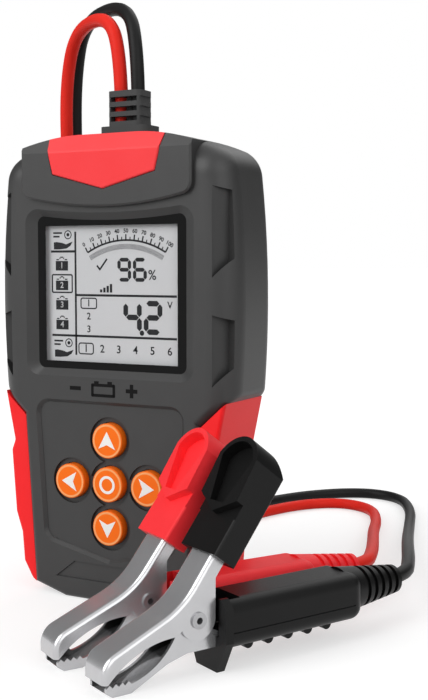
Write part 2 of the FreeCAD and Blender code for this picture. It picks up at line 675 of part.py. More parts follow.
def grip_pockets(body):
    """Two wedge-shaped finger hollows on each front corner, deepest at their back wall."""
    for low, high in ((S.upper_pocket_low, S.upper_pocket_high), (S.lower_pocket_low, S.lower_pocket_high)):
        for side in (-1, 1):
            wedge = new_body("%s_wedge" % body.Name)
            edge = S.case_width / 2 - S.side_bow / 2
            floor = edge - S.pocket_floor
            corners = [
                (edge - S.pocket_reach, FRONT + S.pocket_depth / 5),
                (edge - S.pocket_reach / 2, FRONT - S.grip_round / 3),
                (edge + S.pocket_depth, FRONT + S.grip_round / 3),
                (floor, FRONT + S.grip_round / 2 + S.pocket_depth / 2),
            ]
            if side < 0:
                corners = [(-x, y) for x, y in reversed(corners)]
            pad(wedge, outline(new_sketch(wedge, "XY_Plane", low), corners), high - low)
            ends = [
                (edge - S.pocket_reach - 1, low),
                (edge + S.pocket_depth + 1, low + S.pocket_slant + S.pocket_lean),
                (edge + S.pocket_depth + 1, low - S.pocket_slant),
                (edge - S.pocket_reach - 1, low - S.pocket_slant),
            ]
            tops = [
                (edge - S.pocket_reach - 1, high),
                (edge - S.pocket_reach - 1, high + S.pocket_lean),
                (edge + S.pocket_depth + 1, high + S.pocket_lean),
                (edge + S.pocket_depth + 1, high - S.pocket_lean),
            ]
            for loop in (list(reversed(ends)), list(reversed(tops))):
                if side < 0:
                    loop = [(-x, z) for x, z in reversed(loop)]
                sketch = outline(new_sketch(wedge, "XZ_Plane"), loop)
                pocket(wedge, sketch, S.case_depth * 2, both_ways=True)
            cut = body.newObject("PartDesign::Boolean", body.Name + "_hollow")
            cut.Type = "Cut"
            cut.addObject(wedge)
            doc.recompute()


def sloped_brow(body, face):
    """Cut the sloped top edge of the hood, which goes on over the insert."""
    rise = S.crown_height - S.brow_height
    slope = [
        (face - S.brow_reach, S.brow_height - rise),
        (face + 2 * S.brow_reach, S.crown_height + rise),
        (face - S.brow_reach, S.crown_height + rise),
    ]
    pocket(body, outline(new_sketch(body, "YZ_Plane"), slope), S.case_width, both_ways=True)


def insert_outline(sketch, gap, top, arcs=None):
    """The insert with a gap round it, from its tip to the given corners at its top right."""
    right = [(S.insert_low_width / 2 + gap, S.insert_low - gap), (S.insert_width / 2 + gap, S.insert_side)]
    return outline(sketch, [(0, S.insert_tip - gap)] + mirrored(right + top), arcs)


def bosses(body, start, length, spots, width):
    for x, z in spots:
        pad(body, ring(new_sketch(body, "XZ_Plane", -start), x, z, width / 2), length, reverse=True)


def drill(body, start, length, spots, width, forward=True):
    """Round holes from start, towards the front or towards the back."""
    sketch = new_sketch(body, "XZ_Plane", -start)
    for x, z in spots:
        ring(sketch, x, z, width / 2)
    pocket(body, sketch, length, reverse=forward)


def dipped_frame(sketch, width, height, corner):
    """A frame round the display, whose top edge dips in the middle."""
    corners, arcs = rounded_corners(as_size(0), S.display_centre, width, height, corner)
    arcs[TOP_SIDE] = -bow(width / 2 - corner, S.bezel_dip)
    return outline(sketch, corners, arcs)


def front_shell():
    body = half_case("front_shell", FRONT, S.grip_round, -1)
    grip_pockets(body)
    hood = new_sketch(body, "XZ_Plane", -FRONT + S.hood_rise)
    top_x, top_z = crown_corners(S.hood_top_width)
    half = S.hood_width / 2
    corners = mirrored([(half, S.hood_height), (top_x, top_z), (S.crown_flat / 2, S.crown_height)])
    outline(hood, corners, {1: CROWN_ROUND, 3: CROWN_ROUND, 5: bow(half, S.hood_dip)})
    pad(body, hood, S.hood_rise + S.wall, reverse=True)
    soften(body, "Fillet", S.hood_round, lambda edge: runs_along(edge, ALONG_Y)
           and lies_at(edge, "Z", S.hood_height.value))
    soften(body, "Chamfer", S.hood_edge, lambda edge: lies_at(edge, "Y", (FRONT - S.hood_rise).value)
           and edge.BoundBox.ZMin < top_z.value - 0.1)
    fill = new_sketch(body, "XZ_Plane", -FRONT)
    brow = [(top_x, S.shoulder_height - S.top_wall), (top_x, top_z), (S.crown_flat / 2, S.crown_height)]
    outline(fill, mirrored(brow), {1: CROWN_ROUND, 3: CROWN_ROUND})
    pad(body, fill, S.grip_round, reverse=True)
    sloped_brow(body, FRONT - S.hood_rise)
    open_top = [(S.insert_top_width / 2 + S.insert_gap, S.crown_height + S.insert_rise)]
    seat = insert_outline(new_sketch(body, "XZ_Plane", -FRONT + S.hood_rise), S.insert_gap, open_top)
    pocket(body, seat, S.insert_seat)
    backing = new_sketch(body, "XZ_Plane", -FRONT - S.wall / 2)
    outline(backing, mirrored([
        (S.foot_width / 2 - S.wall, S.foot_height + S.wall),
        (S.waist_width / 2 - S.wall - S.lower_round, S.waist_height),
        (KEYPAD_TOP_WIDTH / 2, S.keypad_top + S.wall),
    ]))
    pad(body, backing, S.keypad_wall - S.wall / 2, reverse=True)
    keypad = new_sketch(body, "XZ_Plane", -FRONT)
    right = [(KEYPAD_LOW_WIDTH / 2, S.keypad_low), (KEYPAD_TOP_WIDTH / 2, S.keypad_top)]
    outline(keypad, [(0, S.keypad_tip)] + mirrored(right))
    pocket(body, keypad, S.keypad_depth)
    low, high = S.keypad_low.value, S.keypad_top.value
    soften(body, "Fillet", S.keypad_round, lambda edge: runs_along(edge, ALONG_Y)
           and (lies_at(edge, "Z", low) or lies_at(edge, "Z", high))
           and abs(edge.BoundBox.YMin - FRONT.value) < 0.01)
    soften(body, "Chamfer", S.keypad_slope, lambda edge: lies_at(edge, "Y", FRONT.value)
           and abs(edge.BoundBox.Center.x) < KEYPAD_TOP_WIDTH.value / 2 + 0.1
           and S.keypad_tip.value - 0.1 < edge.BoundBox.ZMin
           and edge.BoundBox.ZMax < S.keypad_top.value + 0.1)
    chin = new_sketch(body, "XZ_Plane", -FRONT)
    outline(chin, mirrored([(S.chin_width / 2, S.chin_low), (S.chin_top_width / 2, S.chin_high)]))
    pocket(body, chin, S.chin_depth)
    spots = [(x, S.key_height + z) for x, z in BUTTONS.values()]
    for spot in spots:
        drill(body, FRONT + S.keypad_depth, S.key_well_depth, [spot], S.key_well_width, forward=False)
    drill(body, FRONT, S.keypad_wall, spots, S.button_width + 2 * S.button_gap, forward=False)
    bezel = dipped_frame(new_sketch(body, "XZ_Plane", -FRONT), S.bezel_width, S.bezel_height, S.bezel_round)
    window = dipped_frame(new_sketch(body, "XZ_Plane", -FRONT - S.wall), WINDOW_WIDTH, WINDOW_HEIGHT,
                          S.window_round)
    loft = body.newObject("PartDesign::SubtractiveLoft", "bezel_slope")
    loft.Profile = bezel
    loft.Sections = [window]
    doc.recompute()
    bosses(body, FRONT + S.wall / 2, S.front_depth - S.wall / 2, CASE_SCREWS, S.boss_width)
    bosses(body, FRONT + S.wall / 2, S.board_depth - S.wall / 2, BOARD_SCREWS, S.board_boss)
    tip = SCREW_SEAT - S.screw_length
    drill(body, PARTING, PARTING - tip, CASE_SCREWS, S.screw_width + 2 * S.screw_gap)
    drill(body, BOARD_FRONT, S.board_screw_length - S.board_thickness, BOARD_SCREWS,
          S.board_screw_width + 2 * S.screw_gap)
    gland_hole(body)
    return node(body, "front_shell")


def rear_shell():
    body = half_case("rear_shell", BACK, S.back_round, 1)
    depth = S.case_depth - S.front_depth - S.wall / 2
    bosses(body, PARTING, depth, CASE_SCREWS, S.screw_head + 2 * S.wall)
    drill(body, BACK, S.screw_sink, CASE_SCREWS, S.screw_head + 4 * S.screw_gap)
    drill(body, BACK, S.case_depth - S.front_depth, CASE_SCREWS, S.screw_width + 2 * S.screw_gap)
    gland_hole(body)
    return node(body, "rear_shell")


def side_rail(side, label):
    body = new_body(label)
    tip, foot = S.rail_tip_share, S.foot_width / 2
    loop = [
        (foot, S.foot_height),
        (foot + S.rail_toe_out, S.rail_toe_height),
        (foot + S.rail_heel_out, S.rail_heel_height),
        (foot + S.rail_shin_out, S.rail_shin_height),
        (foot + S.rail_bump_low_out, S.rail_bump_low),
        (foot + S.rail_bump_out, S.rail_bump_height),
        (foot + S.rail_notch_out, S.rail_notch_height),
        (S.waist_width / 2 + tip * (GRIP_FOOT_WIDTH - S.waist_width) / 2,
         S.waist_height + tip * (S.grip_foot_height - S.waist_height)),
        (S.waist_width / 2, S.waist_height),
    ]
    inner = S.waist_width.value / 2
    if side < 0:
        loop = [(-x, z) for x, z in reversed(loop)]
    sketch = outline(new_sketch(body, "XZ_Plane", S.rail_set_back - BACK), loop)
    pad(body, sketch, S.case_depth - 2 * S.rail_set_back)
    soften(body, "Fillet", S.rail_round, lambda edge: runs_along(edge, ALONG_Y)
           and abs(edge.BoundBox.Center.x) > inner + 1 and edge.BoundBox.ZMax < S.waist_height.value)
    depth = (BACK - S.rail_set_back).value
    sole = S.foot_height.value + 0.1
    soften(body, "Fillet", S.rail_edge, lambda edge: abs(edge.BoundBox.Center.x) > inner + 0.5
           and edge.BoundBox.ZMin > sole and edge.BoundBox.Center.z < S.waist_height.value + 3
           and (lies_at(edge, "Y", depth) or lies_at(edge, "Y", -depth)))
    return node(body, label)


def top_insert():
    body = new_body("top_insert")
    seat = FRONT - S.hood_rise + S.insert_seat
    top = [crown_corners(S.insert_top_width), (S.crown_flat / 2, S.crown_height)]
    arcs = {3: CROWN_ROUND, 5: CROWN_ROUND}
    sketch = insert_outline(new_sketch(body, "XZ_Plane", -seat), as_size(0), top, arcs)
    pad(body, sketch, S.insert_seat + S.insert_rise)
    face = FRONT - S.hood_rise - S.insert_rise
    sloped_brow(body, face)
    soften(body, "Chamfer", S.insert_edge, lambda edge: lies_at(edge, "Y", face.value))
    return node(body, "top_insert")


LENS_FRONT = FRONT + S.wall
GLASS_FRONT = LENS_FRONT + S.lens_thickness + S.stack_gap
HOLDER_FRONT = GLASS_FRONT + S.glass_thickness + S.stack_gap


def display_plate(label, front, thickness, width, height, corner):
    """A flat plate of the display stack, with round corners."""
    body = new_body(label)
    sketch = new_sketch(body, "XZ_Plane", -front)
    outline(sketch, *rounded_corners(as_size(0), S.display_centre, width, height, corner))
    pad(body, sketch, thickness, reverse=True)
    return node(body, label)


def display_stack():
    lap, inset = S.lens_lap, S.glass_inset
    display_plate("display_window", LENS_FRONT, S.lens_thickness, WINDOW_WIDTH + 2 * lap,
                  WINDOW_HEIGHT + 2 * lap, S.window_round + lap)
    display_plate("lcd_panel", GLASS_FRONT, S.glass_thickness, WINDOW_WIDTH - 2 * inset,
                  WINDOW_HEIGHT - 2 * inset, S.window_round - inset)
    display_plate("lcd_backlight", HOLDER_FRONT, BOARD_FRONT - HOLDER_FRONT, WINDOW_WIDTH + lap,
                  WINDOW_HEIGHT + lap, S.window_round)


def main_board():
    body = new_body("main_board")
    sketch = new_sketch(body, "XZ_Plane", -BOARD_FRONT)
    outline(sketch, box_corners(-BOARD_WIDTH / 2, S.board_low, BOARD_WIDTH / 2, S.board_high))
    pad(body, sketch, S.board_thickness, reverse=True)
    drill(body, BOARD_BACK, S.board_thickness, BOARD_SCREWS, S.board_screw_width + 2 * S.screw_gap)
    return node(body, "main_board")


def block(name, x, y, z, width, depth, height):
    """A box given by its lower front left corner."""
    thing = doc.addObject("Part::Box", name)
    place(thing, x, y, z)
    for field, size in (("Length", width), ("Width", depth), ("Height", height)):
        bind(thing, field, size)
    return thing


AXIS_TURNS = {"x": (Vector(0, 1, 0), 90), "y": (Vector(-1, 0, 0), 90), "z": (Vector(0, 0, 1), 0)}


def rod(name, axis, x, y, z, width, length):
    """A cylinder along an axis, from the middle of its first end."""
    thing = doc.addObject("Part::Cylinder", name)
    thing.Placement = FreeCAD.Placement(Vector(), FreeCAD.Rotation(*AXIS_TURNS[axis]))
    place(thing, x, y, z)
    bind(thing, "Radius", width / 2)
    bind(thing, "Height", length)
    return thing


def fused(name, pieces):
    thing = doc.addObject("Part::MultiFuse", name)
    thing.Shapes = pieces
    return thing


def cut_away(name, base, tool):
    thing = doc.addObject("Part::Cut", name)
    thing.Base = base
    thing.Tool = tool
    return thing


def group(label, pieces):
    """Separate solids of one kind, in one node."""
    thing = doc.addObject("Part::Compound", label)
    thing.Links = pieces
    return node(thing, label)


def screw(name, x, z, seat, width, length, head, head_height):
    """A pan-head screw that points to the front, with a cross slot in its head."""
    body = fused(name, [
        rod(name + "_shank", "y", x, seat - length, z, width, length),
        rod(name + "_head", "y", x, seat, z, head, head_height),
    ])
    slot, bar = head * SLOT_SHARE, head * CROSS_SHARE
    depth = head_height / 2
    cross = fused(name + "_cross", [
        block(name + "_slot", x - slot / 2, seat + depth, z - bar / 2, slot, depth, bar),
        block(name + "_bar", x - bar / 2, seat + depth, z - slot / 2, bar, depth, slot),
    ])
    return cut_away(name + "_cut", body, cross)


def screws():
    group("case_screws", [
        screw("case_screw_%d" % n, x, z, SCREW_SEAT, S.screw_width, S.screw_length, S.screw_head,
              S.screw_head_height) for n, (x, z) in enumerate(CASE_SCREWS)])
    group("board_screws", [
        screw("board_screw_%d" % n, x, z, BOARD_BACK, S.board_screw_width, S.board_screw_length,
              S.board_screw_head, S.board_screw_head_height) for n, (x, z) in enumerate(BOARD_SCREWS)])


def key_switches():
    switches = []
    front = BOARD_FRONT - S.switch_height
    half = S.switch_width / 2
    for name, (x, z) in BUTTONS.items():
        case = block("switch_case", x - half, front, S.key_height + z - half, S.switch_width,
                     S.switch_height, S.switch_width)
        plunger = rod("switch_plunger", "y", x, front - S.plunger_height, S.key_height + z,
                      S.plunger_width, S.plunger_height)
        switches.append(fused(name + "_switch", [case, plunger]))
    group("key_switches", switches)


def board_components():
    middle = S.display_centre
    pieces = [
        block("processor", -S.chip_width / 2, BOARD_BACK, S.key_height, S.chip_width, S.chip_height,
              S.chip_width),
        block("terminals", -S.terminal_width / 2, BOARD_BACK, S.board_high - S.terminal_height,
              S.terminal_width, S.terminal_depth, S.terminal_height),
    ]
    for step in (-1, 0, 1):
        low = middle + step * S.resistor_pitch
        pieces.append(block("resistor", -S.resistor_length, BOARD_BACK, low, S.resistor_length,
                            S.resistor_width, S.resistor_width))
    for step in (0, 1):
        high = middle + step * S.capacitor_pitch
        pieces.append(rod("capacitor", "y", S.capacitor_pitch, BOARD_BACK, high,
                          S.capacitor_width, S.capacitor_height))
    group("board_components", pieces)


def button(label, x, z):
    """A round cap with a bevelled face, kept in by a flange behind the front wall."""
    body = new_body(label)
    radius = S.button_width / 2
    face = WELL_FLOOR - S.button_rise
    flange_back = KEYPAD_BACK + S.button_flange_thickness
    end = BOARD_FRONT - S.switch_height - S.plunger_height - S.button_travel
    profile = [
        (0, face),
        (radius - S.button_bevel, face),
        (radius, face + S.button_bevel),
        (radius, KEYPAD_BACK),
        (radius + S.button_flange, KEYPAD_BACK),
        (radius + S.button_flange, flange_back),
        (S.button_stem / 2, flange_back),
        (S.button_stem / 2, end),
        (0, end),
    ]
    turn(body, "Revolution", outline(new_sketch(body, "XY_Plane"), profile), "V_Axis")
    place(body, x, 0, S.key_height + z)
    return node(body, label)


def gland_slots(body, before, bands, depth, **ways):
    """Cut bands across the gland at each of its slots, from a plane that far before its middle."""
    sketch = new_sketch(body, "XZ_Plane", before)
    first = S.crown_height + S.gland_flange_thickness + S.gland_slot
    for step in range(SLOT_COUNT):
        low = first + step * S.gland_slot_pitch
        for left, right in bands:
            outline(sketch, box_corners(left, low, right, low + S.gland_slot))
    pocket(body, sketch, depth, **ways)


def strain_relief():
    body = new_body("strain_relief")
    inside = S.crown_height - S.top_wall
    slack = 2 * S.lead_gap
    levels = (
        (inside - S.gland_tail, S.gland_tail, S.gland_flange_width, S.gland_flange_depth),
        (inside, S.top_wall, S.gland_neck_width - slack, S.gland_neck_depth - slack),
        (S.crown_height, S.gland_flange_thickness, S.gland_flange_width, S.gland_flange_depth),
        (S.crown_height, S.gland_height, S.gland_top_width, S.gland_top_depth),
    )
    for low, height, width, depth in levels:
        sketch = new_sketch(body, "XY_Plane", low)
        outline(sketch, *rounded_corners(as_size(0), as_size(0), width, depth, depth / 4))
        pad(body, sketch, height)
    half, side = S.gland_top_depth / 2, S.gland_top_width / 2
    bands = [(-S.gland_slot_width / 2, S.gland_slot_width / 2)]
    gland_slots(body, half, bands, half - S.gland_web / 2)
    gland_slots(body, -half, bands, half - S.gland_web / 2, reverse=True)
    bands = [(-side - 1, S.gland_notch - side), (side - S.gland_notch, side + 1)]
    gland_slots(body, half, bands, S.gland_top_depth)
    bores = new_sketch(body, "XY_Plane", inside - S.gland_tail)
    for side in (-1, 1):
        ring(bores, side * S.lead_pitch / 2, 0, S.lead_width / 2 + S.lead_gap)
    pocket(body, bores, S.gland_tail + S.top_wall + S.gland_height, reverse=True)
    return node(body, "strain_relief")


def lead_tails():
    """The ends of the leads inside the case, from the terminals to the gland."""
    starts = (LEAD_RED_ROUTE[0], LEAD_BLACK_ROUTE[0])
    group("lead_tails", [
        rod("lead_tail", "z", x, y, S.board_high, S.lead_width, z - S.board_high) for x, y, z in starts])


def put_clamp(thing, colour):
    """Lay a clamp's piece, made with its nose at the origin and its length along X, on the table."""
    heading = getattr(S, colour + "_heading")
    thing.Placement = FreeCAD.Placement(Vector(), FreeCAD.Rotation(Vector(0, 0, 1), 90 - heading.value))
    bind(thing, "Placement.Rotation.Angle", 90 - heading)
    place(thing, getattr(S, colour + "_nose_x"), getattr(S, colour + "_nose_y"), 0)


LOWER_WIDTH = S.upper_width - 2 * S.sheet - 2 * S.arm_gap
HANDLE_COS = cosine(S.handle_angle)
HANDLE_SIN = sine(S.handle_angle)
NECK_END = S.grip_end + S.neck_length
LEAD_END = NECK_END - S.lead_entry


def on_handle(along, behind):
    """A point of the side view, measured along the upper handle from its hip and behind its spine."""
    return (S.hip_reach + along * HANDLE_COS + behind * HANDLE_SIN,
            S.hip_height + along * HANDLE_SIN - behind * HANDLE_COS)


def round_rivet(radius, angle):
    angle = as_size(angle)
    return S.rivet_reach + radius * cosine(angle), S.rivet_height + radius * sine(angle)


def spine(inside):
    """Back of the upper arm from its handle to its nose, moved inside by a distance, and its bends."""
    half_bend = (S.handle_angle - S.spine_slope) / 2
    half_curl = (90 - S.spine_slope) / 2
    bend = S.knee_round * sine(half_bend) / cosine(half_bend)
    curl = S.nose_round * sine(half_curl) / cosine(half_curl)
    run, rise = cosine(S.spine_slope), sine(S.spine_slope)
    knee_x, knee_z = on_handle(-S.knee_drop, as_size(0))
    nose_z = knee_z - knee_x * rise / run
    points = [
        on_handle(bend - S.knee_drop, inside),
        (knee_x - bend * run + inside * rise, knee_z - bend * rise - inside * run),
        (curl * run + inside * rise, nose_z + curl * rise - inside * run),
        (inside, nose_z - curl),
    ]
    return points, -(S.knee_round + inside), S.nose_round - inside


def upper_jaw(colour):
    body = new_body(colour + "_upper_jaw")
    loop = [(0, S.nose_low), (S.lip_length, S.nose_low), (S.jaw_corner_reach, S.jaw_corner_height)]
    ear = len(loop)
    loop += [round_rivet(S.ear_round, angle) for angle in (200, 270, 355)]
    loop += [
        on_handle(S.handle_height, S.handle_height),
        on_handle(S.handle_length, S.handle_height),
        on_handle(S.handle_length, as_size(0)),
    ]
    back = len(loop)
    points, knee, curl = spine(as_size(0))
    arcs = {1: -S.cheek_round, ear: S.ear_round, ear + 1: S.ear_round, back: knee, back + 2: curl}
    pad(body, outline(new_sketch(body, "XZ_Plane"), loop + points, arcs), S.upper_width, both_ways=True)
    side = S.upper_width.value / 2
    slope = Vector(cosine(S.spine_slope).value, 0, sine(S.spine_slope).value)
    soften(body, "Fillet", S.bend_round, lambda edge: runs_along(edge, slope)
           and (lies_at(edge, "Y", side) or lies_at(edge, "Y", -side)))
    under = S.handle_length * 2
    channel = [
        (S.sheet, -under),
        (under, -under),
        on_handle(S.handle_length + S.sheet, S.handle_height + S.sheet),
        on_handle(S.handle_length + S.sheet, S.sheet),
    ]
    back = len(channel)
    points, knee, curl = spine(S.sheet)
    sketch = outline(new_sketch(body, "XZ_Plane"), channel + points, {back: knee, back + 2: curl})
    pocket(body, sketch, S.upper_width - 2 * S.sheet, both_ways=True)
    hole = ring(new_sketch(body, "XZ_Plane"), S.rivet_reach, S.rivet_height, S.rivet_width / 2 + S.rivet_gap)
    pocket(body, hole, S.upper_width * 2, both_ways=True)
    put_clamp(body, colour)
    return node(body, body.Name)


def lower_jaw(colour):
    body = new_body(colour + "_lower_jaw")
    heel = S.rivet_reach - S.ear_round / 2
    loop = [
        (S.jaw_start, S.jaw_front_height / 2),
        (S.toe_reach, 0),
        (S.sole_reach, 0),
        (S.instep_reach, S.instep_height),
        (heel, S.tail_height),
        (S.tail_reach, S.tail_height),
        (S.tail_reach, S.tail_height + S.tail_cheek),
        (S.rivet_reach + 1.5 * S.ear_round, S.tail_height + S.tail_cheek),
    ]
    ear = len(loop)
    loop += [round_rivet(S.ear_round, angle) for angle in (-35, 90, 180)]
    loop.append((S.jaw_corner_reach, S.jaw_corner_height))
    for step in reversed(range(TOOTH_COUNT)):
        loop.append((S.jaw_start + (step + 1) * S.tooth_pitch, S.jaw_front_height))
        loop.append((S.jaw_start + (step + 0.5) * S.tooth_pitch, S.jaw_front_height + S.tooth_height))
    loop.append((S.jaw_start, S.jaw_front_height))
    arcs = {ear: S.ear_round, ear + 1: S.ear_round, ear + 3: -S.gum_round}
    pad(body, outline(new_sketch(body, "XZ_Plane"), loop, arcs), LOWER_WIDTH, both_ways=True)
    above = S.rivet_height * 3
    slope_run, slope_rise = S.instep_reach - S.sole_reach, S.instep_height
    lean = S.sheet * slope_rise / slope_run
    channel = [
        (-S.sheet, S.sheet),
        (S.sole_reach - lean / 2, S.sheet),
        (S.instep_reach - lean / 2, S.instep_height + S.sheet),
        (heel, S.tail_height + S.sheet),
        (S.tail_reach + S.sheet, S.tail_height + S.sheet),
        (S.tail_reach + S.sheet, above),
        (-S.sheet, above),
    ]
    pocket(body, outline(new_sketch(body, "XZ_Plane"), channel), LOWER_WIDTH - 2 * S.sheet, both_ways=True)
    hole = ring(new_sketch(body, "XZ_Plane"), S.rivet_reach, S.rivet_height, S.rivet_width / 2 + S.rivet_gap)
    pocket(body, hole, S.upper_width * 2, both_ways=True)
    lug_hole = new_sketch(body, "XY_Plane", S.tail_height)
    ring(lug_hole, S.lug_eye, 0, S.lug_rivet_width / 2 + S.rivet_gap)
    pocket(body, lug_hole, S.sheet, reverse=True)
    put_clamp(body, colour)
    return node(body, body.Name)


def pivot_rivet(colour):
    body = new_body(colour + "_pivot_rivet")
    inside = S.upper_width / 2 + S.rivet_gap
    outside = inside + S.rivet_head_thickness
    bore, shank, head = S.rivet_bore / 2, S.rivet_width / 2, S.rivet_head / 2
    profile = [
        (bore, -outside), (head, -outside), (head, -inside), (shank, -inside),
        (shank, inside), (head, inside), (head, outside), (bore, outside),
    ]
    sketch = new_sketch(body, "XY_Plane", S.rivet_height)
    bind(sketch, "AttachmentOffset.Base.x", S.rivet_reach)
    turn(body, "Revolution", outline(sketch, profile), "V_Axis")
    put_clamp(body, colour)
    return node(body, body.Name)


def biarc(start, start_way, end, end_way):
    """Two arcs that leave start and reach end in the given directions."""
    span = end - start
    ways = start_way + end_way
    spread = 2 * (1 - start_way.dot(end_way))
    reach = (math.sqrt(span.dot(ways) ** 2 + spread * span.dot(span)) - span.dot(ways)) / spread
    first_pole = start + start_way * reach
    last_pole = end - end_way * reach
    joint = (first_pole + last_pole) / 2
    return [arc_by_pole(start, first_pole, joint), arc_by_pole(joint, last_pole, end)]


def arc_by_pole(start, pole, end):
    """The arc whose tangents at both ends meet at pole."""
    middle = (start + end) / 2
    half = (end - start).Length / 2
    rise = pole - middle
    sagitta = half * math.tan(math.atan2(rise.Length, half) / 2)
    return Part.Arc(start, middle + rise.normalize() * sagitta, end).toShape()


def touch_angle(radius, outside, turned):
    """Where a line from an outside point touches the spring's circle, as an angle in degrees."""
    towards = math.degrees(math.atan2(outside.z, outside.x))
    return towards + turned * math.degrees(math.acos(radius / outside.Length))


def jaw_spring(colour):
    """A torsion spring round the rivet, one leg on the lower arm and one under the upper spine."""
    radius = S.spring_width.value / 2
    wire = S.spring_wire.value
    pivot = Vector(S.rivet_reach.value, 0, S.rivet_height.value)
    leg = S.spring_leg.value
    floor = (S.tail_height + S.sheet).value
    rest_x, rest_z = on_handle(S.spring_leg, S.sheet + S.spring_seat)
    low_end = Vector(pivot.x + leg, 0, floor + S.spring_seat.value)
    high_end = Vector(rest_x.value, 0, rest_z.value)
    first = touch_angle(radius, low_end - pivot, -1)
    last = touch_angle(radius, high_end - pivot, 1)
    sweep = 360 * SPRING_TURNS + (first - last) % 360
    climb = S.spring_pitch.value / 360

    def at(turned):
        angle = math.radians(first - turned)
        across = (turned - sweep / 2) * climb
        return pivot + Vector(radius * math.cos(angle), across, radius * math.sin(angle))

    def way(turned):
        angle = math.radians(first - turned)
        return Vector(math.sin(angle), math.degrees(climb) / radius, -math.cos(angle)).normalize()

    steps = math.ceil(sweep / 90)
    turns = [sweep * n / steps for n in range(steps + 1)]
    low_end.y = at(0).y
    high_end.y = at(sweep).y
    entry = (at(0) - low_end).normalize()
    leave = (high_end - at(sweep)).normalize()
    edges = [Part.LineSegment(low_end, at(0)).toShape()]
    for begin, end in zip(turns, turns[1:]):
        edges += biarc(at(begin), entry if begin == 0 else way(begin),
                       at(end), leave if end == sweep else way(end))
    edges.append(Part.LineSegment(at(sweep), high_end).toShape())
    path = Part.Wire(edges)
    section = Part.Wire(Part.Circle(low_end, entry, wire / 2).toShape())
    coil = path.makePipeShell([section], True, False)
    coil = coil if coil.ShapeType == "Solid" else Part.Solid(coil.Shells[0])
    samples = [at(sweep * n / SPRING_SAMPLES) for n in range(SPRING_SAMPLES + 1)]
    apart = int(SPRING_SAMPLES * NEXT_TURN / sweep)
    gap = min((a - b).Length for i, a in enumerate(samples) for b in samples[i + apart:]) - wire
    print("%s spring: least gap between turns %.2f, volume over section times length %.4f" % (
        colour, gap, coil.Volume / (path.Length * math.pi * wire ** 2 / 4)))
    thing = doc.addObject("Part::Feature", colour + "_jaw_spring")
    thing.Shape = coil
    put_clamp(thing, colour)
    return node(thing, thing.Name)


def handle_sketch(body, rise):
    """A sketch on the upper handle's back, raised by a distance: X along the handle, Y across it."""
    x, z = on_handle(as_size(0), -rise)
    sketch = new_sketch(body, "XY_Plane", z)
    turned = FreeCAD.Rotation(Vector(0, -1, 0), S.handle_angle.value)
    sketch.AttachmentOffset = FreeCAD.Placement(Vector(), turned)
    bind(sketch, "AttachmentOffset.Base.x", x)
    bind(sketch, "AttachmentOffset.Base.z", z)
    return sketch


def upper_grip(colour):
    """A sleeve on the upper handle with a thumb paddle that stands out from it inside a rim."""
    body = new_body(colour + "_upper_grip")
    start, cover, half = S.handle_grip_start, S.handle_grip_cover, S.handle_grip_width / 2
    end = start + S.handle_grip_length
    lip, back = end - S.paddle_length, S.handle_grip_depth - cover
    face = cover + S.paddle_rise
    loop = [
        on_handle(start, back),
        on_handle(end - S.handle_grip_slant, back),
        on_handle(end, back - S.handle_grip_depth / 2),
        on_handle(end, -face - S.paddle_lean),
        on_handle(lip, -face),
        on_handle(lip, -cover),
        on_handle(start, -cover),
    ]
    pad(body, outline(new_sketch(body, "XZ_Plane"), loop), S.handle_grip_width, both_ways=True)
    side = half.value
    along = Vector(HANDLE_COS.value, 0, HANDLE_SIN.value)
    soften(body, "Fillet", S.handle_grip_edge, lambda edge: runs_along(edge, along)
           and (lies_at(edge, "Y", side) or lies_at(edge, "Y", -side)))
    shape = new_body(colour + "_grip_front")
    crown = S.paddle_crown
    corners = [(0, -half), (end - crown, -half), (end - crown, half), (0, half)]
    sketch = outline(handle_sketch(shape, as_size(0)), corners, {1: bow(half, crown)})
    pad(shape, sketch, end * 2, both_ways=True)
    trim = body.newObject("PartDesign::Boolean", body.Name + "_trim")
    trim.Type = "Common"
    trim.addObject(shape)
    doc.recompute()
    out = S.handle_grip_width
    vee = [(start, -out), (lip + 2 * S.paddle_vee, -out), (lip, 0), (lip + 2 * S.paddle_vee, out), (start, out)]
    pocket(body, outline(handle_sketch(body, cover), vee), S.handle_grip_depth, reverse=True)
    inner = half - S.paddle_rim
    crown = S.paddle_crown * inner / half
    foot, low, high = S.thumb_foot / 2, lip + 2 * S.paddle_rim, end - S.paddle_rim - crown
    hollow = [(low, -foot), (high, -inner), (high, inner), (low, foot)]
    sketch = outline(handle_sketch(body, cover + S.thumb_floor), hollow, {1: bow(inner, crown)})
    pocket(body, sketch, S.handle_grip_depth, reverse=True)
    gap = S.grip_gap
    socket = [
        on_handle(as_size(0), S.handle_height + gap),
        on_handle(S.handle_length + gap, S.handle_height + gap),
        on_handle(S.handle_length + gap, -gap),
        on_handle(as_size(0), -gap),
    ]
    pocket(body, outline(new_sketch(body, "XZ_Plane"), socket), S.upper_width + 2 * gap, both_ways=True)
    put_clamp(body, colour)
    return node(body, body.Name)


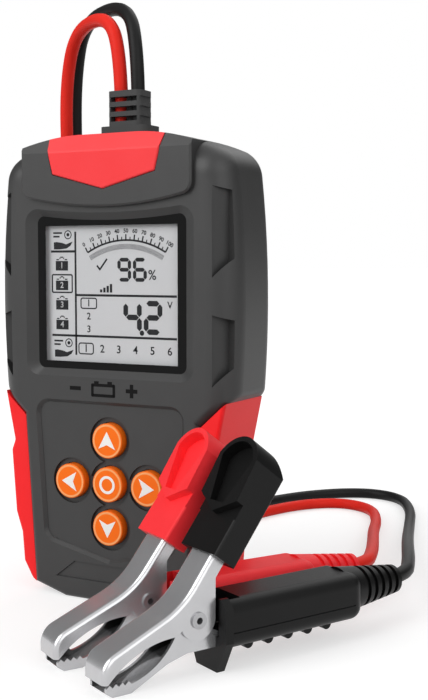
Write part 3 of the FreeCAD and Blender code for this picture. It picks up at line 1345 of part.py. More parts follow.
def lower_grip(colour):
    body = new_body(colour + "_lower_grip")
    side = S.grip_width.value / 2
    loop = box_corners(S.flange_start, S.grip_low, S.grip_end, S.grip_high)
    pad(body, outline(new_sketch(body, "XZ_Plane"), loop), S.grip_width, both_ways=True)
    soften(body, "Fillet", S.grip_edge, lambda edge: runs_along(edge, ALONG_Y)
           and edge.BoundBox.XMin > S.flange_start.value + 1)
    soften(body, "Fillet", S.grip_side, lambda edge: edge.BoundBox.XMax > S.flange_start.value + 1
           and (lies_at(edge, "Y", side) or lies_at(edge, "Y", -side)))
    seam = box_corners(S.flange_start, S.seam_height, S.grip_end - S.grip_edge, S.seam_height + S.seam_width)
    for edge, inward in ((S.grip_width / 2, True), (-S.grip_width / 2, False)):
        pocket(body, outline(new_sketch(body, "XZ_Plane", -edge), seam), S.seam_depth, reverse=inward)
    flange = new_sketch(body, "YZ_Plane", S.flange_start)
    corner = S.flange_thickness
    outline(flange, mirrored([
        (S.flange_foot / 2, 0),
        (S.flange_width / 2, S.grip_low + corner),
        (S.flange_width / 2, S.flange_high - corner),
        (S.flange_width / 2 - corner, S.flange_high),
    ]))
    pad(body, flange, S.flange_thickness)
    ribs = new_sketch(body, "XZ_Plane")
    for step in range(RIB_COUNT):
        ring(ribs, S.rib_start + step * S.rib_pitch, S.grip_low, S.rib_width / 2)
    pad(body, ribs, S.rib_length, both_ways=True)
    neck = new_sketch(body, "XZ_Plane")
    bind(neck, "AttachmentOffset.Base.y", S.lead_height)
    outline(neck, [
        (S.grip_end - S.grip_edge, 0), (NECK_END, 0), (NECK_END, S.neck_end_width / 2),
        (S.grip_end - S.grip_edge, S.neck_start_width / 2),
    ])
    turn(body, "Revolution", neck, "H_Axis")
    rings = new_sketch(body, "XZ_Plane")
    bind(rings, "AttachmentOffset.Base.y", S.lead_height)
    root = S.grip_end - S.grip_edge
    taper = (S.neck_start_width - S.neck_end_width) / (2 * (NECK_END - root))
    for step in range(RING_COUNT):
        first = NECK_END - S.ring_width - (step + 0.5) * S.ring_pitch
        core = S.neck_start_width / 2 - taper * (first - root) - S.ring_depth
        outline(rings, box_corners(first, core, first + S.ring_width, S.neck_start_width))
    turn(body, "Groove", rings, "H_Axis")
    gap = S.grip_gap
    mouth = S.tail_height + S.tail_cheek + S.sheet
    hollows = (
        (S.flange_start - 1, S.tail_height, S.tail_reach + gap, S.tail_height + S.tail_cheek + gap,
         LOWER_WIDTH + 2 * gap),
        (S.flange_start - 1, mouth, S.flange_start + S.mouth_length, S.flange_high + 1,
         S.upper_width + 2 * S.mouth_gap),
        (S.flange_start - 1, S.tail_height + S.tail_cheek - S.sheet, S.flange_start + S.mouth_length,
         mouth + S.sheet, S.upper_width + 2 * S.mouth_gap),
        (S.lug_eye - S.lug_rivet_head, S.tail_height + S.sheet, S.barrel_start + S.barrel_length + gap,
         S.lead_height + S.barrel_width / 2 + gap, S.barrel_width + 2 * gap),
    )
    for left, low, right, high, width in hollows:
        sketch = outline(new_sketch(body, "XZ_Plane"), box_corners(left, low, right, high))
        pocket(body, sketch, width, both_ways=True)
    bore = new_sketch(body, "YZ_Plane", S.barrel_start)
    ring(bore, 0, S.lead_height, S.lead_width / 2 + S.lead_gap)
    pocket(body, bore, NECK_END - S.barrel_start, reverse=True)
    put_clamp(body, colour)
    return node(body, body.Name)


def lead_lug(colour):
    """A strap on the lower arm's tail with a barrel for the lead's bare core."""
    name = colour + "_lead_lug"
    low = S.tail_height + S.sheet
    start = S.lug_eye - S.lug_rivet_head
    half = S.lug_width / 2
    barrel_end = S.barrel_start + S.barrel_length
    strap = fused(name + "_body", [
        block(name + "_strap", start, -half, low, S.barrel_start + S.lug_thickness - start, S.lug_width,
              S.lug_thickness),
        block(name + "_riser", S.barrel_start, -half, low, S.lug_thickness, S.lug_width, S.lead_height - low),
        rod(name + "_barrel", "x", S.barrel_start, 0, S.lead_height, S.barrel_width, S.barrel_length),
        rod(name + "_core", "x", barrel_end, 0, S.lead_height, S.core_width, LEAD_END - barrel_end),
    ])
    hole = rod(name + "_hole", "z", S.lug_eye, 0, low, S.lug_rivet_width + 2 * S.rivet_gap, S.lug_thickness)
    lug = cut_away(name, strap, hole)
    put_clamp(lug, colour)
    return node(lug, name)


def lug_rivet(colour):
    name = colour + "_lug_rivet"
    shank = S.sheet + S.lug_thickness
    rivet = fused(name, [
        rod(name + "_shank", "z", S.lug_eye, 0, S.tail_height, S.lug_rivet_width, shank),
        rod(name + "_head", "z", S.lug_eye, 0, S.tail_height + shank, S.lug_rivet_head, S.lug_thickness),
    ])
    put_clamp(rivet, colour)
    return node(rivet, name)


def clamp_point(colour, reach, height):
    heading = math.radians(getattr(S, colour + "_heading").value)
    return Vector(getattr(S, colour + "_nose_x").value + reach * math.sin(heading),
                  getattr(S, colour + "_nose_y").value + reach * math.cos(heading), height)


def lead(colour, route):
    """A tube along straight runs joined by the largest tangent arcs that the runs allow."""
    points = [Vector(*point) for point in route]
    for reach in ((NECK_END + S.lead_exit).value, LEAD_END.value):
        points.append(clamp_point(colour, reach, S.lead_height.value))
    edges, radii, last = [], [], points[0]
    for before, corner, after in zip(points, points[1:], points[2:]):
        cut = CORNER_SHARE * min((corner - before).Length, (after - corner).Length)
        start = corner + (before - corner).normalize() * cut
        end = corner + (after - corner).normalize() * cut
        half_turn = (corner - before).getAngle(after - corner) / 2
        radii.append(cut / math.tan(half_turn))
        edges += [Part.LineSegment(last, start).toShape(), arc_by_pole(start, corner, end)]
        last = end
    edges.append(Part.LineSegment(last, points[-1]).toShape())
    path = Part.Wire(edges)
    section = Part.Wire(Part.Circle(points[0], points[1] - points[0], S.lead_width.value / 2).toShape())
    tube = path.makePipeShell([section], True, False)
    tube = tube if tube.ShapeType == "Solid" else Part.Solid(tube.Shells[0])
    print("lead_%s: length %.1f, least radius %.1f, radii %s, volume over section times length %.4f" % (
        colour, path.Length, min(radii), [round(r) for r in radii],
        tube.Volume / (path.Length * math.pi * S.lead_width.value ** 2 / 4)))
    thing = doc.addObject("Part::Feature", "lead_" + colour)
    thing.Shape = tube
    return node(thing, thing.Name)


def main():
    front_shell()
    rear_shell()
    side_rail(-1, "side_rail_left")
    side_rail(1, "side_rail_right")
    top_insert()
    display_stack()
    main_board()
    board_components()
    key_switches()
    screws()
    for label, (x, z) in BUTTONS.items():
        button(label, x, z)
    strain_relief()
    lead_tails()
    lead("red", LEAD_RED_ROUTE)
    lead("black", LEAD_BLACK_ROUTE)
    for colour in ("red", "black"):
        for make in (upper_jaw, lower_jaw, pivot_rivet, jaw_spring, upper_grip, lower_grip, lead_lug,
                     lug_rivet):
            make(colour)
    doc.recompute()
    for thing in doc.Objects:
        if "Invalid" in thing.State or "Error" in thing.State:
            raise RuntimeError("%s failed: %s" % (thing.Name, thing.State))
    for thing in NODES:
        if thing.Shape.isNull() or not thing.Shape.isValid():
            raise RuntimeError("%s has no valid shape" % thing.Label)
    os.makedirs("parts", exist_ok=True)
    for thing in NODES:
        thing.Shape.exportStep("parts/%s.step" % thing.Label)
    print("%d sub-parts written" % len(NODES))


main()
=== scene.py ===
# %% [markdown]
# # A battery tester with clamp leads
#
# The tester stands on a table with its two clamps in front of it. Every solid piece comes from
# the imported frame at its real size, so this lesson is about looks: the leads as smooth curves,
# the finish of each surface, the marks on the display and the keys, and plain studio light.

# %% Load the frame
import bmesh
import bpy
import json
import math
from mathutils import Matrix, Vector

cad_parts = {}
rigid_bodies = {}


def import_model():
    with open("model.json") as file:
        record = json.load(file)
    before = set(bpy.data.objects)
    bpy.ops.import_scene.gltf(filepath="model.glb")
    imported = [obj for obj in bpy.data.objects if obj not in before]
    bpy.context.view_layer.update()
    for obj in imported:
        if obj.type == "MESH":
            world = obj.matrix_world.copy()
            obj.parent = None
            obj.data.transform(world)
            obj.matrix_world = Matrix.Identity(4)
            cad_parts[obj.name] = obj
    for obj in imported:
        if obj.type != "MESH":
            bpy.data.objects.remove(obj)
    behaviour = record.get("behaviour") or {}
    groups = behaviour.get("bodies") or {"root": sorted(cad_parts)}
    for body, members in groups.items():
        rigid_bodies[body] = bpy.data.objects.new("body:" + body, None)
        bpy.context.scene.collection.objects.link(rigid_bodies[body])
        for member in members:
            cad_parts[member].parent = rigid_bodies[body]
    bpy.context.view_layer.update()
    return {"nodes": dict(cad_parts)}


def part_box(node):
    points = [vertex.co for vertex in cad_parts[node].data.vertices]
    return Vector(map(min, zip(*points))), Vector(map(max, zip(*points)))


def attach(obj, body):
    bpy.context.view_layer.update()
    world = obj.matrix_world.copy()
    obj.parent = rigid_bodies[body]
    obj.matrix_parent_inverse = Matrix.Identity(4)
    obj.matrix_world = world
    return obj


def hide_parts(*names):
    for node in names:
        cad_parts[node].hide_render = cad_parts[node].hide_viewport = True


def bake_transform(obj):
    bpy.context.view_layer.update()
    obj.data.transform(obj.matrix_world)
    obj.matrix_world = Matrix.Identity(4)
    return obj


for old in list(bpy.data.objects):
    bpy.data.objects.remove(old)
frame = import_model()
nodes = frame["nodes"]
MM = 0.001

# %% [markdown]
# ## The camera
#
# The photograph was taken from the right of the display and a little above it. The camera could
# be aimed with a constraint, but plain angles are easier to check: the turn about Z is the angle
# to the right, and the pitch is how far the view dips under the horizon.

# %% Camera
CAMERA_PLACE = Vector((203.4, -323.1, 112.8)) * MM
CAMERA_TURN = math.radians(28.0)
CAMERA_DIP = math.radians(4.4)
FILM_HEIGHT = 36.0
FOCAL_PIXELS, PICTURE_PIXELS = 1130.0, 700.0

lens = bpy.data.cameras.new("photo_camera")
lens.sensor_fit = "VERTICAL"
lens.sensor_height = FILM_HEIGHT
lens.lens = FILM_HEIGHT * FOCAL_PIXELS / PICTURE_PIXELS
lens.clip_start = 0.01
camera = bpy.data.objects.new("photo_camera", lens)
bpy.context.scene.collection.objects.link(camera)
camera.location = CAMERA_PLACE
camera.rotation_euler = (math.pi / 2 - CAMERA_DIP, 0, CAMERA_TURN)
bpy.context.scene.camera = camera
print("camera: lens %.1f mm" % lens.lens)

# %% [markdown]
# ## The clamps' springs
#
# Round each rivet sits a torsion spring. One leg stays on the lower arm and the other is pushed by the
# upper arm, so the coil twists when the clamp opens. Here a plain copy of the solid takes its place.


def twist_spring(colour):
    solid = nodes[colour + "_jaw_spring"]
    spring = bpy.data.objects.new("twist_spring_" + colour, solid.data.copy())
    bpy.context.scene.collection.objects.link(spring)
    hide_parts(solid.name)
    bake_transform(spring)
    return spring


springs = {colour: twist_spring(colour) for colour in ("red", "black")}
print("springs:", sorted(springs))

# %% [markdown]
# ## The two leads
#
# Each lead is limp silicone cable that rises out of the gland, bends over behind the case, runs
# down its back and lies in a long loop on the table before it enters its clamp. A mesh tube would
# need its own rings; a NURBS curve with a round bevel gives one smooth line from a few points.
# The order of 3 is set after the points are there, because before that it falls back to 2. The
# thickness is in the points' own radius, with a bevel of 1: the curve's box counts that radius.

# %% Leads
LEAD_WIDTH = 4.6 * MM
LEAD_RED_ROUTE = (
    (-3.25, 0.0, 158.5), (-3.25, 0.0, 178.0), (-10.0, 4.0, 196.5), (-34.0, 18.0, 196.5),
    (-41.5, 22.0, 178.0), (-41.5, 22.5, 150.0), (-40.0, 24.0, 106.0), (-38.5, 26.0, 66.0),
    (-36.0, 31.0, 34.0), (-31.5, 46.0, 8.0), (-22.0, 70.0, 2.4), (-15.0, 98.0, 2.4),
    (-10.0, 125.0, 2.4), (-1.0, 148.0, 2.4), (14.0, 160.0, 2.4), (31.0, 153.0, 2.4),
    (41.0, 131.0, 2.6), (49.5, 103.0, 5.0), (60.0, 74.0, 8.5), (69.0, 48.0, 11.5),
    (76.10, 23.26, 13.9), (68.89, 11.26, 13.9),
)
LEAD_BLACK_ROUTE = (
    (3.25, 0.0, 161.5), (3.25, 0.0, 181.0), (-6.0, 9.0, 201.0), (-35.0, 25.0, 201.0),
    (-42.5, 29.5, 181.0), (-42.8, 30.0, 152.0), (-42.5, 31.5, 108.0), (-41.0, 34.5, 68.0),
    (-38.5, 41.0, 36.0), (-35.0, 59.0, 13.0), (-32.0, 85.0, 7.5), (-27.0, 114.0, 2.6),
    (-19.0, 143.0, 2.4), (-6.0, 170.0, 2.4), (14.0, 187.0, 2.4), (34.0, 183.0, 2.4),
    (47.0, 159.0, 2.4), (57.0, 126.0, 3.0), (67.5, 92.0, 6.5), (77.5, 62.0, 10.5),
    (86.0, 37.0, 13.0), (91.80, 16.68, 13.9), (85.45, 4.21, 13.9),
)


def lay_lead(colour, route):
    curve = bpy.data.curves.new("test_lead_" + colour, "CURVE")
    curve.dimensions = "3D"
    line = curve.splines.new("NURBS")
    line.points.add(len(route) - 1)
    for point, place in zip(line.points, route):
        point.co = (*(Vector(place) * MM), 1.0)
        point.radius = LEAD_WIDTH / 2
    line.use_endpoint_u = True
    line.order_u = 3
    line.resolution_u = 10
    curve.bevel_depth = 1.0
    curve.bevel_resolution = 5
    curve.use_fill_caps = True
    lead = bpy.data.objects.new("test_lead_" + colour, curve)
    bpy.context.scene.collection.objects.link(lead)
    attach(lead, "tester")
    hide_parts("lead_" + colour)
    clamp = [piece for name, piece in nodes.items() if name.startswith(colour + "_")]
    clamp = [piece for piece in clamp if not piece.hide_render] + [springs[colour]]
    return lead


leads = {
    "red": lay_lead("red", LEAD_RED_ROUTE),
    "black": lay_lead("black", LEAD_BLACK_ROUTE),
}
print("leads:", sorted(leads))

# %% [markdown]
# ## Light and table
#
# The photograph is a white studio picture with faint soft shadows. Area lamps would leave the far
# table grey, because their light fades with distance. Sun lamps light the whole table alike, and a
# wide angle makes them as soft as a large soft box. Key, fill and back light together with the
# white room add up to a plain level, at which a colour looks as it is written.

# %% Light
SUN_WIDTH = math.radians(50)
SUNS = (
    ("key_light", (-0.45, -0.80, 0.62), 1.70),
    ("fill_light", (0.95, -0.60, 0.60), 0.70),
    ("back_light", (0.10, 0.80, 0.90), 0.55),
)
WORLD_LIGHT = 0.40


def hang_sun(name, towards, strength):
    """A soft sun lamp that shines on the tester from a direction."""
    light = bpy.data.lights.new(name, "SUN")
    light.angle = SUN_WIDTH
    light.energy = strength
    lamp = bpy.data.objects.new(name, light)
    bpy.context.scene.collection.objects.link(lamp)
    lamp.location = towards
    lamp.rotation_euler = Vector(towards).to_track_quat("Z", "Y").to_euler()


for sun in SUNS:
    hang_sun(*sun)
bpy.context.scene.view_settings.view_transform = "Standard"
print("light:", [name for name, _, _ in SUNS])

# %% [markdown]
# The room is white. To the camera, and in the mirror of metal and glass, it shows at full strength,
# but it lights the tester with less, so that the colours stay as they are written. The Light Path
# node tells the two kinds of ray apart. Node trees get long, so a few helpers come first: a socket
# takes a link or a plain value, and a step of arithmetic is one line.

# %% White room
WHITE = (1, 1, 1, 1)


def feed(tree, socket, value):
    """Give a socket another node's output, or a plain value."""
    if isinstance(value, bpy.types.NodeSocket):
        tree.links.new(value, socket)
    else:
        socket.default_value = value


def maths(tree, operation, *values):
    """One step of arithmetic on outputs or plain numbers."""
    step = tree.nodes.new("ShaderNodeMath")
    step.operation = operation
    for socket, value in zip(step.inputs, values):
        feed(tree, socket, value)
    return step.outputs[0]


def vectors(tree, operation, *values):
    """One step of arithmetic on vectors, which gives a number or another vector."""
    step = tree.nodes.new("ShaderNodeVectorMath")
    step.operation = operation
    for socket, value in zip(step.inputs, values):
        feed(tree, socket, value)
    return step.outputs["Value" if operation in ("DOT_PRODUCT", "LENGTH") else "Vector"]


def seen_directly(tree):
    """A value that is 1 for rays from the camera, from shiny metal and through glass."""
    ray = tree.nodes.new("ShaderNodeLightPath").outputs
    shown = maths(tree, "MAXIMUM", ray["Is Camera Ray"], ray["Is Glossy Ray"])
    return maths(tree, "MAXIMUM", shown, ray["Is Transmission Ray"])


world = bpy.data.worlds.new("studio")
bpy.context.scene.world = world
world.use_nodes = True
room = world.node_tree.nodes
lit = room["Background"]
lit.inputs["Color"].default_value = WHITE
lit.inputs["Strength"].default_value = WORLD_LIGHT
white = room.new("ShaderNodeBackground")
white.inputs["Color"].default_value = WHITE
choice = room.new("ShaderNodeMixShader")
join = world.node_tree.links.new
join(seen_directly(world.node_tree), choice.inputs["Fac"])
join(lit.outputs[0], choice.inputs[1])
join(white.outputs[0], choice.inputs[2])
join(choice.outputs[0], room["World Output"].inputs["Surface"])
print("room: light", WORLD_LIGHT, "and white to the camera")

# %% [markdown]
# The table is one large plane. Its own white is a little below full, and a glow that only the
# camera and the mirrors see lifts it the rest of the way, so the shadows stay on it.

# %% Table
FLOOR_SIZE = 40.0
FLOOR_COLOUR = 0.55
FLOOR_GLOW = 0.57
FLOOR_ROUGHNESS = 0.9


def white_table():
    paper = bpy.data.materials.new("white_table")
    paper.use_nodes = True
    tree = paper.node_tree
    shader = tree.nodes["Principled BSDF"]
    shader.inputs["Base Color"].default_value = (FLOOR_COLOUR, FLOOR_COLOUR, FLOOR_COLOUR, 1)
    shader.inputs["Roughness"].default_value = FLOOR_ROUGHNESS
    shader.inputs["Specular IOR Level"].default_value = 0.0
    shader.inputs["Emission Color"].default_value = WHITE
    glow = maths(tree, "MULTIPLY", seen_directly(tree), FLOOR_GLOW)
    feed(tree, shader.inputs["Emission Strength"], glow)
    return paper


def lay_table():
    """The table top, which belongs to the studio and isn't part of the tester."""
    bm = bmesh.new()
    bmesh.ops.create_grid(bm, x_segments=1, y_segments=1, size=FLOOR_SIZE / 2)
    mesh = bpy.data.meshes.new("table_top")
    bm.to_mesh(mesh)
    bm.free()
    mesh.materials.append(white_table())
    table = bpy.data.objects.new("table_top", mesh)
    bpy.context.scene.collection.objects.link(table)


lay_table()
print("table:", FLOOR_SIZE, "m wide")

# %% [markdown]
# ## Finishes
#
# Moulded plastic is one colour all through, with a fine grain from the mould and a slight cloudiness.
# A painted texture would need an image; noise on the Object coordinates gives the same grain on
# every piece at its real size.

# %% Moulded plastic and rubber
ROUGHNESS_VARIES = 0.07
GRAIN_STEEPNESS = 1 / 4
MIX_AMOUNT, MIX_LOW, MIX_HIGH, MIX_RESULT = 0, 6, 7, 2


def tint(code):
    """A colour as it is written for a screen, in the renderer's own scale of light."""
    shares = [int(code[i:i + 2], 16) / 255 for i in (0, 2, 4)]
    return tuple(c / 12.92 if c <= 0.04045 else ((c + 0.055) / 1.055) ** 2.4 for c in shares) + (1.0,)


def speckle(tree, size, detail=2.0):
    """Noise with blotches of about that size."""
    where = tree.nodes.new("ShaderNodeTexCoord")
    noise = tree.nodes.new("ShaderNodeTexNoise")
    noise.inputs["Scale"].default_value = 1 / size
    noise.inputs["Detail"].default_value = detail
    tree.links.new(where.outputs["Object"], noise.inputs["Vector"])
    return noise.outputs["Fac"]


def between(tree, amount, low, high):
    """Two colours mixed by an amount, on the sockets that a Mix node has for colours."""
    mix = tree.nodes.new("ShaderNodeMix")
    mix.data_type = "RGBA"
    for place, value in ((MIX_AMOUNT, amount), (MIX_LOW, low), (MIX_HIGH, high)):
        feed(tree, mix.inputs[place], value)
    return mix.outputs[MIX_RESULT]


def spread(tree, amount, low, high, start=0.0, end=1.0):
    """A value that goes from low to high while an amount goes from start to end."""
    span = tree.nodes.new("ShaderNodeMapRange")
    span.inputs["From Min"].default_value = start
    span.inputs["From Max"].default_value = end
    span.inputs["To Min"].default_value = low
    span.inputs["To Max"].default_value = high
    feed(tree, span.inputs["Value"], amount)
    return span.outputs[0]


def raise_grain(tree, shader, amount, strength, depth):
    bump = tree.nodes.new("ShaderNodeBump")
    bump.inputs["Strength"].default_value = strength
    bump.inputs["Distance"].default_value = depth
    tree.links.new(amount, bump.inputs["Height"])
    tree.links.new(bump.outputs[0], shader.inputs["Normal"])


def moulded(name, dark, light, roughness, shine=0.22, grain=0.35 * MM, strength=0.25, cloud=9 * MM):
    finish = bpy.data.materials.new(name)
    finish.use_nodes = True
    tree = finish.node_tree
    shader = tree.nodes["Principled BSDF"]
    shader.inputs["Specular IOR Level"].default_value = shine
    base = between(tree, speckle(tree, cloud), tint(dark), tint(light))
    feed(tree, shader.inputs["Base Color"], base)
    fine = speckle(tree, grain)
    rough = spread(tree, fine, roughness - ROUGHNESS_VARIES, roughness + ROUGHNESS_VARIES)
    feed(tree, shader.inputs["Roughness"], rough)
    raise_grain(tree, shader, fine, strength, grain * GRAIN_STEEPNESS)
    return finish


def dress(finish, *names):
    for name in names:
        nodes[name].material_slots[0].material = finish


case_grey = moulded("case_grey", "303030", "363636", 0.40, shine=0.40)
rail_red = moulded("rail_red", "FA2024", "FF282C", 0.42)
insert_red = moulded("insert_red", "FC383C", "FF4246", 0.36)
grip_red = moulded("grip_red", "FA2E34", "FF3C42", 0.42, shine=0.16)
grip_black = moulded("grip_black", "0B0B0B", "121212", 0.36, shine=0.18)
gland_grey = moulded("gland_grey", "434343", "4C4C4C", 0.55, shine=0.15, grain=0.2 * MM)
lead_red = moulded("lead_red", "E4281C", "F03226", 0.45, shine=0.10, grain=0.25 * MM, strength=0.15)
lead_black = moulded("lead_black", "161616", "1E1E1E", 0.42, shine=0.12, grain=0.25 * MM, strength=0.15)
board_green = moulded("board_green", "0B3D20", "125030", 0.4)
part_black = moulded("part_black", "141414", "1C1C1C", 0.5)
holder_white = moulded("holder_white", "D8D8D2", "E4E4DE", 0.5)
dress(case_grey, "front_shell", "rear_shell")
dress(rail_red, "side_rail_left", "side_rail_right")
dress(insert_red, "top_insert")
dress(grip_red, "red_upper_grip", "red_lower_grip")
dress(grip_black, "black_upper_grip", "black_lower_grip")
dress(gland_grey, "strain_relief")
dress(board_green, "main_board")
dress(part_black, "board_components", "key_switches", "lead_tails")
dress(holder_white, "lcd_backlight")
leads["red"].data.materials.append(lead_red)
leads["black"].data.materials.append(lead_black)
print("plastic and rubber finishes ready")

# %% [markdown]
# ## Metal
#
# Plated metal in an all-white room has no shape, because every side mirrors the same white. Grey
# cards beside the set would help, but the room itself can do it: towards the left and towards the
# far right its white falls to grey, for mirrored rays only. That puts a gradient on the metal, keeps
# the case's side deep and takes no light away.

# %% Grey walls for the mirrors
WALLS = ((-0.80, 0.35, 0.48), (0.52, 0.85, 0.10))
WALL_GREY = 0.15
WALL_EDGE, WALL_CORE = 0.60, 0.88


def grey_walls(tree):
    """How far a mirrored ray looks at one of the grey walls."""
    where = tree.nodes.new("ShaderNodeTexCoord").outputs["Generated"]
    left, right = (vectors(tree, "DOT_PRODUCT", where, Vector(way).normalized()) for way in WALLS)
    depth = spread(tree, maths(tree, "MAXIMUM", left, right), 0.0, 1.0, WALL_EDGE, WALL_CORE)
    ray = tree.nodes.new("ShaderNodeLightPath").outputs
    return maths(tree, "MULTIPLY", depth, ray["Is Glossy Ray"])


shade = between(world.node_tree, grey_walls(world.node_tree), WHITE, (WALL_GREY,) * 3 + (1,))
join(shade, white.inputs["Color"])
print("walls: grey towards", WALLS)

# %% [markdown]
# The jaws are pressed from steel sheet and plated, so they mirror the room with a slight haze that
# runs along the sheet. The inner sides of the folded sheet get a painted shade, a darker grey: a point
# is on an inner side when its surface looks back at the clamp's middle plane, which two dot products
# tell.

# %% Plated steel
METAL = 0.74
PLATING_CLOUD, PLATING_GRAIN = 4 * MM, 0.6 * MM
PLATING_BUMP, PLATING_DEPTH = 0.06, 0.02 * MM


def plated(name, dark, light, roughness, haze):
    finish = bpy.data.materials.new(name)
    finish.use_nodes = True
    tree = finish.node_tree
    shader = tree.nodes["Principled BSDF"]
    shader.inputs["Metallic"].default_value = METAL
    cloud = speckle(tree, PLATING_CLOUD)
    feed(tree, shader.inputs["Base Color"], between(tree, cloud, tint(dark), tint(light)))
    fine = speckle(tree, PLATING_GRAIN)
    feed(tree, shader.inputs["Roughness"], spread(tree, fine, roughness, roughness + haze))
    raise_grain(tree, shader, fine, PLATING_BUMP, PLATING_DEPTH)
    return finish


INSIDE_REACH = 2 * MM
# the grey of the painted shade on the inner sides of the arms
INSIDE_SHADE_GREY = "484848"
CLAMP_NOSES = {"red": (17.9, -73.6), "black": (40.5, -84.0)}
CLAMP_HEADINGS = {"red": 31.0, "black": 27.0}


def dull_inside(finish, colour):
    """Paint shade, a darker grey, on the sides of the folded arms that face the clamp's own middle
    plane.
    """
    tree = finish.node_tree
    base = tree.nodes["Principled BSDF"].inputs["Base Color"]
    plain = base.links[0].from_socket
    heading = math.radians(CLAMP_HEADINGS[colour])
    across = Vector((math.cos(heading), -math.sin(heading), 0))
    nose = Vector((*CLAMP_NOSES[colour], 0)) * MM
    where = tree.nodes.new("ShaderNodeTexCoord").outputs
    aside = vectors(tree, "DOT_PRODUCT", vectors(tree, "SUBTRACT", where["Object"], nose), across)
    looks = vectors(tree, "DOT_PRODUCT", where["Normal"], across)
    # painted shade: the sides that look back at the other arm take the darker grey
    inside = maths(tree, "LESS_THAN", maths(tree, "MULTIPLY", aside, looks), -INSIDE_REACH)
    feed(tree, base, between(tree, inside, plain, tint(INSIDE_SHADE_GREY)))
    return finish


rivet_steel = plated("rivet_steel", "A8A8AA", "B8B8BA", 0.20, 0.10)
spring_steel = plated("spring_steel", "6C6C70", "808084", 0.28, 0.10)
screw_steel = plated("screw_steel", "9C9CA0", "ACACB0", 0.30, 0.12)
lug_brass = plated("lug_brass", "A88448", "B8945A", 0.28, 0.12)
for colour in ("red", "black"):
    jaw_chrome = dull_inside(plated("jaw_chrome_" + colour, "C0C0C2", "CACACC", 0.20, 0.08), colour)
    dress(jaw_chrome, colour + "_upper_jaw", colour + "_lower_jaw")
    dress(rivet_steel, colour + "_pivot_rivet")
    springs[colour].data.materials[0] = spring_steel
    dress(lug_brass, colour + "_lead_lug", colour + "_lug_rivet")
dress(screw_steel, "case_screws", "board_screws")
print("metal finishes ready")

# %% [markdown]
# ## The display
#
# The window is a clear plate with a dark border printed behind its edge, and the grey display
# glass lies behind it. The border is drawn in the window's own material from the distance to its
# middle, so it needs no extra piece: opaque and dark outside the lit area, clear inside. Only the
# front half of the plate takes the print, because a second border at its back would show beside it.

# %% Window and display glass
LIT_WIDTH, LIT_HEIGHT = 51.0 * MM, 45.0 * MM
LIT_RISE = -0.4 * MM
GLASS_TINT = 0.03
window_low, window_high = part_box("display_window")
DISPLAY_MIDDLE = (window_low + window_high) / 2 + Vector((0, 0, LIT_RISE))


def printed_window():
    finish = bpy.data.materials.new("printed_window")
    finish.use_nodes = True
    tree = finish.node_tree
    shader = tree.nodes["Principled BSDF"]
    shader.inputs["Base Color"].default_value = tint("101010")
    shader.inputs["Roughness"].default_value = 0.12
    shader.inputs["Specular IOR Level"].default_value = 0.1
    where = tree.nodes.new("ShaderNodeTexCoord").outputs["Object"]
    axes = tree.nodes.new("ShaderNodeSeparateXYZ")
    feed(tree, axes.inputs[0], vectors(tree, "SUBTRACT", where, DISPLAY_MIDDLE))
    beside, above = (
        maths(tree, "GREATER_THAN", maths(tree, "ABSOLUTE", axes.outputs[axis]), size / 2)
        for axis, size in (("X", LIT_WIDTH), ("Z", LIT_HEIGHT))
    )
    border = maths(tree, "MAXIMUM", beside, above)
    front = maths(tree, "LESS_THAN", axes.outputs["Y"], 0.0)
    ink = maths(tree, "MULTIPLY", border, front)
    feed(tree, shader.inputs["Alpha"], spread(tree, ink, GLASS_TINT, 1.0))
    return finish


dress(printed_window(), "display_window")
display_glass = moulded("display_glass", "D2D3D5", "D6D7D9", 0.35, strength=0.02, cloud=30 * MM)
dress(display_glass, "lcd_panel")
print("display middle:", [round(v / MM, 1) for v in DISPLAY_MIDDLE])

# %% [markdown]
# ## Marks on the display
#
# A display like this shows dark segments: a dial with plain numbers, large digits, and small
# signs. They could be a texture, but thin plates keep their edges sharp from any distance. Each
# sign is drawn flat with a few bmesh calls and then all are raised together by a hair.

# %% Flat drawing tools
PLATE = 0.03 * MM
BOLD = 0.05 * MM
TEXT_SIZE = 1.4
SAME_POINT = 0.001 * MM


def polygon(bm, points):
    """A flat face in the XZ plane, from points in millimetres."""
    corners = [bm.verts.new((x * MM, 0, z * MM)) for x, z in points]
    return bm.faces.new(corners)


def bar(bm, start, end, width):
    """A straight stroke with square ends."""
    start, end = Vector(start), Vector(end)
    side = (end - start).orthogonal().normalized() * width / 2
    polygon(bm, [start + side, start - side, end - side, end + side])


def segment(bm, start, end, width):
    """A display segment: a stroke with pointed ends."""
    start, end = Vector(start), Vector(end)
    along = (end - start).normalized() * width / 2
    side = along.orthogonal()
    polygon(bm, [start, start + along - side, end - along - side,
                 end, end - along + side, start + along + side])


def block(bm, x, z, width, height):
    polygon(bm, [(x - width / 2, z - height / 2), (x + width / 2, z - height / 2),
                 (x + width / 2, z + height / 2), (x - width / 2, z + height / 2)])


def hoop(bm, x, z, outer, inner, sides=40):
    """A flat ring, or a disc where inner is 0."""
    place = Matrix.Translation((x * MM, 0, z * MM)) @ Matrix.Rotation(math.pi / 2, 4, "X")
    rim = bmesh.ops.create_circle(bm, cap_ends=inner == 0, segments=sides, radius=outer * MM,
                                  matrix=place)
    if inner:
        hole = bmesh.ops.create_circle(bm, segments=sides, radius=inner * MM, matrix=place)
        loops = {edge for vert in rim["verts"] + hole["verts"] for edge in vert.link_edges}
        bmesh.ops.bridge_loops(bm, edges=list(loops))


